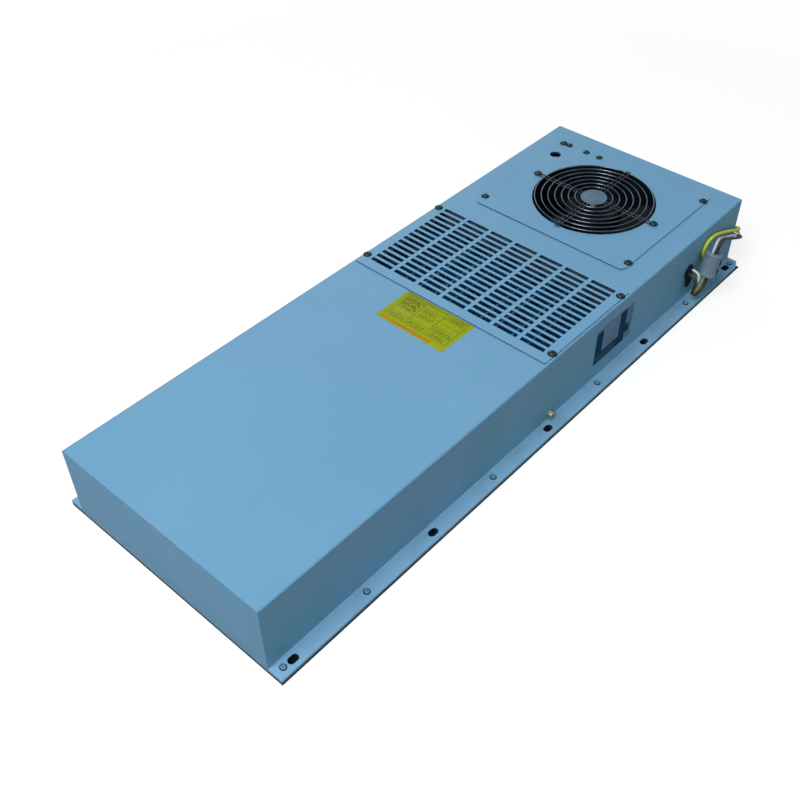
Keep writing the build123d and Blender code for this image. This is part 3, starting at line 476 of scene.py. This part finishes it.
def lead(name, route, radius, lane_r, slot, stands_for):
    """A lead along its route, through its lane of the coil and straight into the connector."""
    lane_x = coil_x - lane_r
    points = route + coil_points(lane_r, radius)
    points += [(lane_x, last_bend_y, radius), (lane_x, lead_end_y, radius)]
    piece = tube(name, [(points, False)], "NURBS", radius, 4, slot, stands_for)


lean = math.radians(20.0)
ferrite_axis = Vector((math.sin(lean), 0, math.cos(lean)))
ferrite_centre = Vector((299.0, -145.9, 50.0))


def in_ferrite(reach, side):
    return tuple(ferrite_centre + ferrite_axis * reach + Vector((0, side, 0)))


black_route = [
    (273.4, -134.5, 44.8), (273.4, -140.0, 44.8), (271.0, -146.0, 39.6), (268.4, -145.6, 31.4),
    (268.8, -145.4, 25.4), (273.4, -145.8, 20.0), (280.2, -146.6, 19.0), (286.2, -147.6, 22.5),
    in_ferrite(-23.0, -2.2), in_ferrite(22.5, -2.2), (311.6, -148.0, 76.2), (319.0, -147.4, 75.8),
    (328.4, -146.4, 69.8), (350.0, -144.4, 58.0), (391.4, -141.8, 37.0), (394.6, -114.0, 31.0),
    (395.5, -84.0, 12.6), (395.5, -60.0, 9.6),
]
white_route = [
    (280.2, -134.5, 46.8), (280.2, -139.8, 46.8), (280.0, -144.6, 42.0), (279.8, -144.0, 35.4),
    (277.2, -142.6, 29.2), (279.4, -142.2, 23.6), (285.0, -142.4, 21.6), (290.0, -143.4, 24.8),
    in_ferrite(-17.0, 2.2), in_ferrite(21.5, 2.2), (310.6, -143.2, 74.6), (317.0, -142.2, 74.4),
    (326.4, -141.0, 69.4), (348.0, -139.8, 59.4), (391.6, -138.8, 41.8), (391.9, -112.0, 36.6),
    (391.9, -82.0, 13.6), (391.9, -60.0, 9.3),
]
yellow_green_route = [
    (277.4, -134.5, 41.0), (277.4, -139.8, 41.0), (275.0, -145.4, 35.6), (272.9, -144.4, 28.4),
    (273.2, -141.4, 21.8), (279.2, -140.8, 16.2), (287.8, -140.8, 15.0), (298.4, -140.8, 15.8),
    (308.6, -139.6, 20.6), (314.0, -135.6, 30.0), (311.0, -133.2, 43.0), (302.6, -133.2, 54.0),
    (301.0, -133.2, 61.6), (305.4, -133.8, 72.0), (318.0, -134.8, 75.2), (344.0, -135.6, 66.6),
    (391.6, -139.2, 47.2), (388.4, -110.0, 42.6), (388.3, -80.0, 14.8), (388.3, -60.0, 10.0),
]
lead("black_lead", black_route, 1.8, 24.4, "black_sheath", ("lead_black", "lead_coil"))
lead("white_lead", white_route, 1.5, 28.0, "white_sheath", ("lead_white",))
lead("yellow_green_lead", yellow_green_route, 1.9, 31.6, "yellow_green_sheath",
     ("lead_yellow_green",))


# Mesh helpers
def as_object(name, mesh, finishes, stands_for=(), angle=35.0):
    """A smooth piece of the housing whose edges stay sharp where its faces meet at more than angle."""
    mesh.polygons.foreach_set("use_smooth", [True] * len(mesh.polygons))
    mesh.set_sharp_from_angle(angle=math.radians(angle))
    for finish in finishes:
        mesh.materials.append(finish)
    piece = bpy.data.objects.new(name, mesh)
    scene.collection.objects.link(piece)
    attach(piece, "housing")
    if stands_for:
        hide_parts(*stands_for)


def to_mesh(name, work):
    bmesh.ops.recalc_face_normals(work, faces=work.faces)
    mesh = bpy.data.meshes.new(name)
    work.to_mesh(mesh)
    work.free()
    return mesh


def turned(work, profile, matrix, sides, start_angle=0.0, sweep=360.0):
    """A turned form of (radius, height) points; for less than a full turn they end where they start."""
    full = sweep == 360.0
    steps = sides if full else sides + 1
    rings = []
    for n in range(steps):
        angle = math.radians(start_angle + sweep * n / sides)
        ring = []
        for radius, height in profile:
            if radius == 0.0 and rings:
                ring.append(rings[0][len(ring)])
            else:
                spot = Vector((radius * math.cos(angle), radius * math.sin(angle), height)) * MM
                ring.append(work.verts.new(matrix @ spot))
        rings.append(ring)
    for n in range(sides):
        here, there = rings[n], rings[(n + 1) % steps]
        for k in range(len(profile) - 1):
            corners = []
            for vert in (here[k], there[k], there[k + 1], here[k + 1]):
                if vert not in corners:
                    corners.append(vert)
            if len(corners) > 2:
                work.faces.new(corners)
    if not full:
        for ring in (rings[0], rings[-1]):
            work.faces.new(ring[:-1])


def stand(x, y, z, direction=(0, 0, 1)):
    """The matrix of a piece that stands at a place and points in a direction."""
    turn = Vector(direction).to_track_quat("Z", "Y").to_matrix().to_4x4()
    return Matrix.Translation(Vector((x, y, z)) * MM) @ turn


def joined(work, rings):
    """Faces between rings of equally many corners, and one over each end."""
    for low_ring, high_ring in zip(rings, rings[1:]):
        sides = len(low_ring)
        for n in range(sides):
            m = (n + 1) % sides
            work.faces.new((low_ring[n], low_ring[m], high_ring[m], high_ring[n]))
    work.faces.new(rings[-1])
    work.faces.new(list(reversed(rings[0])))


def carved(base, cutter):
    """The mesh of base with cutter taken out of it."""
    first = bpy.data.objects.new("base", base)
    second = bpy.data.objects.new("cutter", cutter)
    scene.collection.objects.link(first)
    scene.collection.objects.link(second)
    change = first.modifiers.new("cut", "BOOLEAN")
    change.operation = "DIFFERENCE"
    change.object = second
    change.solver = "EXACT"
    bpy.context.view_layer.update()
    made = bpy.data.meshes.new_from_object(first.evaluated_get(bpy.context.evaluated_depsgraph_get()))
    bpy.data.objects.remove(first)
    bpy.data.objects.remove(second)
    return made


def box_into(work, low, high, matrix, taper=1.0):
    """A block from low to high in millimetres; its low end is taper times as large."""
    corners = []
    for z, factor in ((low[2], taper), (high[2], 1.0)):
        for x, y in ((low[0], low[1]), (high[0], low[1]), (high[0], high[1]), (low[0], high[1])):
            corners.append(work.verts.new(matrix @ (Vector((x * factor, y * factor, z)) * MM)))
    for order in ((0, 3, 2, 1), (4, 5, 6, 7), (0, 1, 5, 4), (1, 2, 6, 5), (2, 3, 7, 6), (3, 0, 4, 7)):
        work.faces.new([corners[n] for n in order])


# Screws
def pan_head(head_d, head_h):
    """A pan head with a cross recess; the faces of its rim and recess take the second material, a painted
    shade.
    """
    r, h = head_d / 2, head_h
    work = bmesh.new()
    turned(work, [
        (0.0, -0.05), (r * 0.96, -0.05), (r, 0.10 * h), (r, 0.36 * h), (r * 0.975, 0.52 * h),
        (r * 0.92, 0.68 * h), (r * 0.82, 0.82 * h), (r * 0.66, 0.92 * h), (r * 0.45, 0.98 * h), (0.0, h),
    ], Matrix.Identity(4), 36)
    head = to_mesh("pan_head", work)
    arm, half = r * 0.50, r * 0.115
    for reach_x, reach_y in ((arm, half), (half, arm)):
        work = bmesh.new()
        box_into(work, (-reach_x, -reach_y, h * 0.35), (reach_x, reach_y, h * 1.3), Matrix.Identity(4), 0.55)
        head = carved(head, to_mesh("recess", work))
    # Faces low on the head, its rim and its recess, take the painted shade
    for face in head.polygons:
        face.material_index = int(face.center.z < 0.72 * h * MM)
    return head


def thread(work, shank_d, shank_length, matrix, pitch=0.7):
    """A shank below the seat with rings for its thread."""
    r = shank_d / 2
    root_r = r * 0.86
    profile = [(root_r, 0.0)]
    n = 0
    while (n + 1) * pitch < shank_length - pitch:
        profile += [(r, -(n + 0.5) * pitch), (root_r, -(n + 1) * pitch)]
        n += 1
    profile += [(r * 0.8, -shank_length), (0.0, -shank_length)]
    turned(work, profile, matrix, 14)


def screw_group(name, places, head, shank, stands_for=(), washer_d=0.0, finish=None):
    """Screws at places, each a matrix whose origin is the seat and whose Z points out of the head."""
    head_mesh = pan_head(*head)
    washer_r = washer_d / 2
    hole_r = head[0] * 0.44
    work = bmesh.new()
    for n, matrix in enumerate(places):
        copy = head_mesh.copy()
        copy.transform(matrix @ Matrix.Rotation(math.radians(37.0 * n + 11.0), 4, "Z"))
        work.from_mesh(copy)
        bpy.data.meshes.remove(copy)
        if shank:
            thread(work, *shank, matrix)
        if washer_d:
            before = len(work.faces)
            turned(work, [
                (hole_r, 0.0), (washer_r, 0.0), (washer_r, 0.32), (washer_r - 0.15, 0.45), (hole_r, 0.45),
                (hole_r, 0.0),
            ], matrix, 36)
            work.faces.ensure_lookup_table()
            # The washer takes the same painted shade
            for face in work.faces[before:]:
                face.material_index = 1
    finishes = [finish or materials["screw_steel"], screw_shade]
    as_object(name, to_mesh(name, work), finishes, stands_for)


wire_r = 0.8
plate_head = (7.6, 2.3)
plate_shank = (4.0, 8.0)
plate_washer_d = 9.8
grille_at = [stand(grille_x + dx, y, plate_top_z) for dx in (-60.5, 60.5) for y in (-125.0, 125.0)]
fan_plate_at = [stand(fan_x + dx, y, plate_top_z) for dx in (-79.3, 79.3) for y in (-99.2, 99.2)]
control_at = [stand(349.0, y, plate_top_z) for y in (91.0, 65.5, 46.5)]
guard_at = [stand(fan_x, y, plate_top_z + 2 * wire_r) for y in (-fan_screw_y, fan_screw_y)]
outer_at = [stand(-fan_x, y, 3.0, (0, 0, -1)) for y in (-fan_screw_y, fan_screw_y)]
flange_at = [stand(x, y, flange_top_z) for x in (-373.0, -271.0, -90.0, 90.0, 271.0, 373.0)
             for y in (-139.0, 139.0)]
screw_group("grille_plate_screws", grille_at, plate_head, plate_shank, ("grille_screws",), plate_washer_d)
screw_group("inner_fan_plate_screws", fan_plate_at, plate_head, plate_shank, ("fan_plate_screws",),
            plate_washer_d)
screw_group("control_board_screws", control_at, (6.8, 2.0), (3.0, 8.0), ("control_screws",), 8.6)
screw_group("guard_fixing_screws", guard_at, plate_head, (4.0, 11.0), ("guard_screws",), plate_washer_d)
screw_group("outer_fan_fixing_screws", outer_at, plate_head, (4.0, 9.7), ("outer_fan_screws",))
screw_group("flange_screws", flange_at, (5.4, 1.2), None, (), 7.0, head_blue)


# Finger guard
spoke_z = plate_top_z + wire_r
ring_z = spoke_z + 1.3
ring_steps = 96
spoke_start = 13.0
spoke_half = 2.4
eye_steps = 20


def circle_run(radius):
    angles = [2 * math.pi * n / ring_steps for n in range(ring_steps)]
    return [(fan_x + radius * math.cos(a), radius * math.sin(a), ring_z) for a in angles], True


def hairpin_run(outer, turn, eye_r=None):
    """A hairpin from the disc outwards and back, its end round or an eye, turned about the fan's axis."""
    if eye_r:
        reach = math.sqrt(eye_r ** 2 - spoke_half ** 2)
        first = math.degrees(math.atan2(spoke_half, -reach))
        straight_end = outer - reach - 4.0
        angles = [math.radians(first - k * 2 * first / eye_steps) for k in range(eye_steps + 1)]
        end = [(outer + eye_r * math.cos(a), eye_r * math.sin(a)) for a in angles]
    else:
        straight_end = outer - spoke_half
        angles = [math.radians(a) for a in range(15, 166, 15)]
        end = [(straight_end + spoke_half * math.sin(a), spoke_half * math.cos(a)) for a in angles]
    flat = [(spoke_start, spoke_half), (straight_end, spoke_half), *end,
            (straight_end, -spoke_half), (spoke_start, -spoke_half)]
    c, s = math.cos(math.radians(turn)), math.sin(math.radians(turn))
    return [(fan_x + x * c - y * s, x * s + y * c, spoke_z) for x, y in flat], False


guard_runs = [circle_run(22.0 + n * 7.9) for n in range(7)]
guard_runs += [hairpin_run(75.0, turn) for turn in (0.0, 180.0)]
guard_runs += [hairpin_run(fan_screw_y, turn, 3.2) for turn in (90.0, 270.0)]
tube("guard_wires", guard_runs, "POLY", wire_r, 3, "guard_wire", ("finger_guard",))
work = bmesh.new()
turned(work, [
    (0.0, 91.55), (14.9, 91.55), (15.5, 91.95), (15.5, 92.6), (15.1, 93.0), (14.3, 93.1), (13.3, 93.1),
    (12.9, 92.85), (12.3, 92.8), (11.9, 93.0), (8.0, 93.06), (4.0, 93.1), (0.0, 93.1),
], stand(fan_x, 0.0, 0.0), 64)
as_object("guard_disc", to_mesh("guard_disc", work), [disc_coat])

# Grommet: a round bush, and a flange on the wall whose lower half hangs lower and narrower, a dark piece that
# stands in for the shade below the bush
grommet_x = 277.0
grommet_z = 45.0
grommet_drop = 15.0
grommet_shift = 4.0
grommet_high_width = 0.90
grommet_low_width = 0.66
grommet_sides = 48
work = bmesh.new()
turned(work, [
    (0.0, -3.5), (8.5, -3.5), (9.0, -3.0), (9.0, -2.0), (8.6, -1.5), (7.0, -1.5), (7.0, 0.0), (7.6, 2.0),
    (6.6, 2.1), (6.3, 2.3), (6.0, 2.6), (5.9, 3.1), (5.6, 3.4), (5.2, 3.5), (0.0, 3.5),
], stand(grommet_x, wall_y, grommet_z, (0, -1, 0)), grommet_sides)
rings = []
for radius, height in ((8.8, 0.0), (9.1, 0.3), (9.1, 1.2), (8.7, 1.8), (8.0, 2.0), (7.4, 2.0), (6.9, 1.6),
                       (6.6, 1.5)):
    ring = []
    for n in range(grommet_sides):
        angle = 2 * math.pi * n / grommet_sides
        if math.sin(angle) < -1e-6:
            x = grommet_x + radius * math.cos(angle) * grommet_low_width + grommet_shift
            z = grommet_z + radius * math.sin(angle) - grommet_drop
        else:
            x = grommet_x + radius * math.cos(angle) * grommet_high_width
            z = grommet_z + radius * math.sin(angle)
        ring.append(work.verts.new(Vector((x, wall_y - height, z)) * MM))
    rings.append(ring)
joined(work, rings)
as_object("lead_grommet", to_mesh("lead_grommet", work), [materials["black_rubber"]],
          ("cable_grommet",))

# Earth bolt on its washer
earth_washer_h = 1.0
earth_seat = stand(13.0, wall_y, 12.7, (0, -1, 0))
earth_head_seat = earth_seat @ Matrix.Translation((0, 0, earth_washer_h * MM))
work = bmesh.new()
turned(work, [
    (2.5, 0.0), (4.3, 0.0), (4.4, 0.12), (4.4, 0.88), (4.3, earth_washer_h), (2.5, earth_washer_h),
    (2.5, 0.0),
], earth_seat, 40)
as_object("earth_bolt_washer", to_mesh("earth_bolt_washer", work), [materials["earth_metal"]],
          ("earth_washer",))


def hex_head(across_corners, height):
    """A hexagon with its top corners turned down to a cone."""
    sides = 48
    r = across_corners / 2
    sixth = math.pi / 3
    made = bmesh.new()
    rings = []
    for share, limit in ((0.0, math.inf), (0.78, math.inf), (0.92, 0.955), (1.0, 0.88)):
        ring = []
        for n in range(sides):
            angle = 2 * math.pi * n / sides
            edge = r * math.cos(sixth / 2) / math.cos((angle + sixth / 2) % sixth - sixth / 2)
            radius = min(edge, limit * r)
            spot = Vector((radius * math.cos(angle), radius * math.sin(angle), share * height))
            ring.append(made.verts.new(spot * MM))
        rings.append(ring)
    joined(made, rings)
    return made


work = hex_head(8.8, 3.5)
bmesh.ops.transform(work, matrix=earth_head_seat, verts=work.verts)
thread(work, 5.0, 11.0, earth_head_seat, 0.8)
as_object("earth_bolt", to_mesh("earth_bolt", work), [materials["earth_metal"]],
          ("earth_screw",), angle=25.0)

# Ferrite clamp: two half shells with a parting line, two latches on one side and ribs on one half
side_axis = Vector((0, 1, 0))
third_axis = ferrite_axis.cross(side_axis)
ferrite_place = axes_at(side_axis, third_axis, ferrite_axis, [value * MM for value in ferrite_centre])
case_profile = [
    (4.6, -14.0), (9.5, -14.0), (10.2, -13.7), (10.5, -13.0), (10.5, -10.9), (10.3, -10.5), (9.8, -10.2),
    (9.8, 10.2), (10.3, 10.5), (10.5, 10.9), (10.5, 13.0), (10.2, 13.7), (9.5, 14.0), (4.6, 14.0),
    (4.6, 12.5), (9.0, 12.5), (9.0, -12.5), (4.6, -12.5), (4.6, -14.0),
]
work = bmesh.new()
for start_angle in (1.2, 181.2):
    turned(work, case_profile, ferrite_place, 32, start_angle, 177.6)
# A latch's block comes once with each of its two rails, and the doubled block renders with dark spots
for height in (-5.5, 5.5):
    for near, far in ((-3.4, -2.4), (2.4, 3.4)):
        box_into(work, (-10.45, -3.2, height - 2.4), (-9.3, 3.2, height + 2.4), ferrite_place)
        box_into(work, (-10.5, near, height - 2.8), (-9.3, far, height + 2.8), ferrite_place)
for angle in range(40, 161, 20):
    rib = ferrite_place @ Matrix.Rotation(math.radians(angle), 4, "Z")
    box_into(work, (9.7, -0.45, -9.6), (10.25, 0.45, 9.6), rib)
as_object("ferrite_clamp", to_mesh("ferrite_clamp", work), [materials["ferrite_shell"]],
          ("ferrite_case",))

# Tie round the put-away turns, with its head and its tail
tie_inner_r = 22.4
tie_outer_r = 33.7
tie_top_z = 11.6 + tie_lift
tie_bend_r = 1.6
tie_thick = 0.55
tie_half_width = 1.3
low_bend_z = tie_bend_r + tie_thick
high_bend_z = tie_top_z - tie_bend_r + 0.2
tie_section = (
    (tie_bend_r, -tie_half_width), (tie_bend_r, tie_half_width),
    (tie_bend_r + tie_thick, tie_half_width), (tie_bend_r + tie_thick, -tie_half_width),
)
tie_bends = (
    (tie_inner_r + tie_bend_r, low_bend_z, 180), (tie_outer_r - tie_bend_r, low_bend_z, 270),
    (tie_outer_r - tie_bend_r, high_bend_z, 0), (tie_inner_r + tie_bend_r, high_bend_z, 90),
)
work = bmesh.new()
rows = []
for bend_r, bend_z, first in tie_bends:
    for turn in range(0, 91, 15):
        c, s = math.cos(math.radians(first + turn)), math.sin(math.radians(first + turn))
        row = []
        for depth, across in tie_section:
            spot = Vector((coil_x + across, coil_y - bend_r - depth * c, bend_z + depth * s))
            row.append(work.verts.new(spot * MM))
        rows.append(row)
for here, there in zip(rows, rows[1:] + rows[:1]):
    for k in range(4):
        work.faces.new((here[k], here[(k + 1) % 4], there[(k + 1) % 4], there[k]))
tie_head_at = stand(coil_x, coil_y - 27.0, tie_top_z + 0.3)
box_into(work, (-2.2, -2.4, 0.0), (2.2, 2.4, 3.0), tie_head_at)
box_into(work, (-tie_half_width, 1.0, 1.0), (tie_half_width, 9.0, 1.5), tie_head_at)
long_edges = [edge for edge in work.edges if edge.calc_length() > 2.2 * MM]
bmesh.ops.bevel(work, geom=long_edges, offset=0.12 * MM, segments=2, affect="EDGES", clamp_overlap=True)
as_object("lead_tie", to_mesh("lead_tie", work), [tie_nylon])

# Labels
label_thick = 0.14
label_corner_r = 1.2
label_rim_inset = 0.12
print_gap = 0.015
print_step = 0.0004


def label(name, origin, across, up, width, height, finishes, marks):
    """A thin rounded sheet with flat printed fields; marks are (left, low, right, high, finish number)."""
    origin, across, up = Vector(origin), Vector(across), Vector(up)
    out = across.cross(up)
    work = bmesh.new()

    def spot(u, v, w):
        return work.verts.new((origin + across * u + up * v + out * w) * MM)

    def inset(value, size):
        return (value - size / 2) * (1 - label_rim_inset / size) + size / 2

    r = label_corner_r
    outline = []
    for u, v, first in ((width - r, r, 270), (width - r, height - r, 0), (r, height - r, 90), (r, r, 180)):
        for turn in range(0, 91, 15):
            angle = math.radians(first + turn)
            outline.append((u + r * math.cos(angle), v + r * math.sin(angle)))
    base = [spot(u, v, 0.0) for u, v in outline]
    rim = [spot(u, v, label_thick * 0.7) for u, v in outline]
    face = [spot(inset(u, width), inset(v, height), label_thick) for u, v in outline]
    joined(work, [base, rim, face])
    # Each mark lies a hair above the one before, so that they may cross
    printed = label_thick + print_gap
    for left, low, right, high, finish in marks:
        corners = ((left, low), (right, low), (right, high), (left, high))
        work.faces.new([spot(u, v, printed) for u, v in corners]).material_index = finish
        printed += print_step
    mesh = bpy.data.meshes.new(name)
    work.to_mesh(mesh)
    work.free()
    as_object(name, mesh, finishes)


def rows_of(left, right, low, high, pitch, bar, shortest):
    """Rows of short printed bars, of uneven lengths, in a field of a label."""
    marks = []
    row = low
    count = 0
    while row + bar <= high:
        reach = left
        while reach < right - shortest:
            piece_length = shortest * (1.0 + 0.45 * ((count * 7) % 5))
            marks.append((reach, row, min(reach + piece_length, right), row + bar, 2))
            reach += piece_length + shortest * 0.6
            count += 1
        row += pitch
    return marks


sticker_marks = [(6.0, 1.8, 71.0, 6.0, 1), (4.0, 49.6, 86.5, 50.2, 2)]
sticker_marks += [(5.0, v, 85.5, v + 0.4, 2) for v in (9.4, 17.6, 25.8, 34.0, 41.6, 47.6)]
sticker_marks += [(u, 9.4, u + 0.4, 48.0, 2) for u in (5.0, 30.5, 57.5, 85.1)]
for field in (
        (7.0, 29.0, 27.6, 46.6, 2.4, 1.1, 2.6), (33.0, 55.0, 11.4, 16.6, 2.6, 1.0, 2.2),
        (60.0, 83.0, 19.6, 24.6, 2.6, 1.0, 2.0), (7.0, 27.0, 11.4, 16.0, 2.6, 1.0, 1.8),
        (60.0, 82.0, 43.2, 46.8, 2.2, 0.9, 1.6), (34.0, 50.0, 36.0, 40.0, 2.4, 0.9, 1.8),
        (61.0, 80.0, 11.4, 16.0, 2.6, 1.0, 1.8), (34.0, 54.0, 27.8, 32.6, 2.4, 0.9, 2.4)):
    sticker_marks += rows_of(*field)
label("rating_sticker", (-55.0, 49.0, top_z), (0, -1, 0), (1, 0, 0), 90.0, 52.0,
      [label_yellow, label_orange, label_rule], sticker_marks)

plate_marks = [
    (0.8, 0.8, 13.5, 43.5, 1), (13.5, 0.8, 57.5, 14.0, 1), (45.0, 14.0, 57.5, 45.0, 1),
    (57.5, 11.0, 65.5, 22.0, 1), (0.8, 45.4, 69.2, 46.0, 1), (68.6, 0.8, 69.2, 46.0, 1),
]
for field in ((3.0, 42.0, 3.4, 12.0, 3.2, 1.2, 2.4), (60.0, 67.0, 26.0, 43.0, 3.4, 1.1, 2.0),
              (17.0, 42.0, 18.0, 42.0, 4.4, 1.2, 3.0)):
    plate_marks += rows_of(*field)
label("wall_plate", (88.0, wall_y, 26.0), (1, 0, 0), (0, 0, 1), 70.0, 47.0,
      [plate_light, plate_dark, plate_mid], plate_marks)


def emptied(owner):
    """The node tree of a material or a world, with nothing in it."""
    owner.use_nodes = True
    owner.node_tree.nodes.clear()
    return owner.node_tree


# Floor: white round the part, and dark beneath it with painted shade, where its slots look through
floor_half = 40
floor_z = -0.0004
floor_mesh = bpy.data.meshes.new("floor")
floor_corners = [(x * floor_half, y * floor_half, floor_z) for x, y in ((-1, -1), (1, -1), (1, 1), (-1, 1))]
floor_mesh.from_pydata(floor_corners, [], [(0, 1, 2, 3)])
floor = bpy.data.objects.new("floor", floor_mesh)
scene.collection.objects.link(floor)
floor_material = bpy.data.materials.new("floor")
tree = emptied(floor_material)
spot = put(tree, "SeparateXYZ", {"Vector": place(tree)})
past_ends = above(tree, size_of(tree, spot.outputs["X"]), half_length * MM)
past_flanges = above(tree, size_of(tree, spot.outputs["Y"]), flange_half_width * MM)
open_floor = either(tree, past_ends, past_flanges)
shade = span(tree, noise(tree, place(tree), 1.5), 0.3, 0.7)
grey = blend_colour(tree, shade, (0.30, 0.30, 0.30), (0.32, 0.32, 0.32))
# Painted shade: beneath the part the floor is dark
grey = blend_colour(tree, open_floor, (0.006, 0.016, 0.026), grey)
matt = put(tree, "BsdfDiffuse", {"Color": grey})
# The glow grows outwards until the floor is as white as the world, so no horizon shows
from_middle = put(tree, "VectorMath", {0: place(tree)}, operation="LENGTH").outputs["Value"]
shown = times(tree, put(tree, "LightPath").outputs["Is Camera Ray"], open_floor)
strength = times(tree, shown, span(tree, from_middle, 0.9, 2.5, 0.74, 1.0))
glow = put(tree, "Emission", {"Color": (1, 1, 1, 1), "Strength": strength})
surface = put(tree, "AddShader", {0: matt.outputs[0], 1: glow.outputs[0]})
put(tree, "OutputMaterial", {"Surface": surface.outputs[0]})
floor_mesh.materials.append(floor_material)

# World: white to the camera, and softer as light
world = bpy.data.worlds.new("world")
scene.world = world
tree = emptied(world)
shown = put(tree, "LightPath").outputs["Is Camera Ray"]
soft = put(tree, "Background", {"Color": (0.96, 0.98, 1.0, 1), "Strength": 0.36})
white = put(tree, "Background", {"Color": (1, 1, 1, 1), "Strength": 1.0})
surface = put(tree, "MixShader", {0: shown, 1: soft.outputs[0], 2: white.outputs[0]})
put(tree, "OutputWorld", {"Surface": surface.outputs[0]})

# Lamps
lamps_aim = Vector((0.0, 0.0, 0.05))


def lamp(name, at, size, power, tint=(1, 1, 1)):
    data = bpy.data.lights.new(name, "AREA")
    data.shape = "DISK"
    data.size = size
    data.energy = power
    data.color = tint
    piece = bpy.data.objects.new(name, data)
    scene.collection.objects.link(piece)
    piece.location = at
    piece.rotation_mode = "QUATERNION"
    piece.rotation_quaternion = (lamps_aim - Vector(at)).to_track_quat("-Z", "Y")


lamp("key", (-1.36, -0.14, 2.03), 1.3, 43.0)
lamp("fill", (0.2, -2.2, 0.9), 1.6, 3.6, (0.90, 1.0, 0.97))
lamp("rim", (1.6, 1.8, 1.2), 1.6, 8.0)

scene.view_settings.view_transform = "Standard"
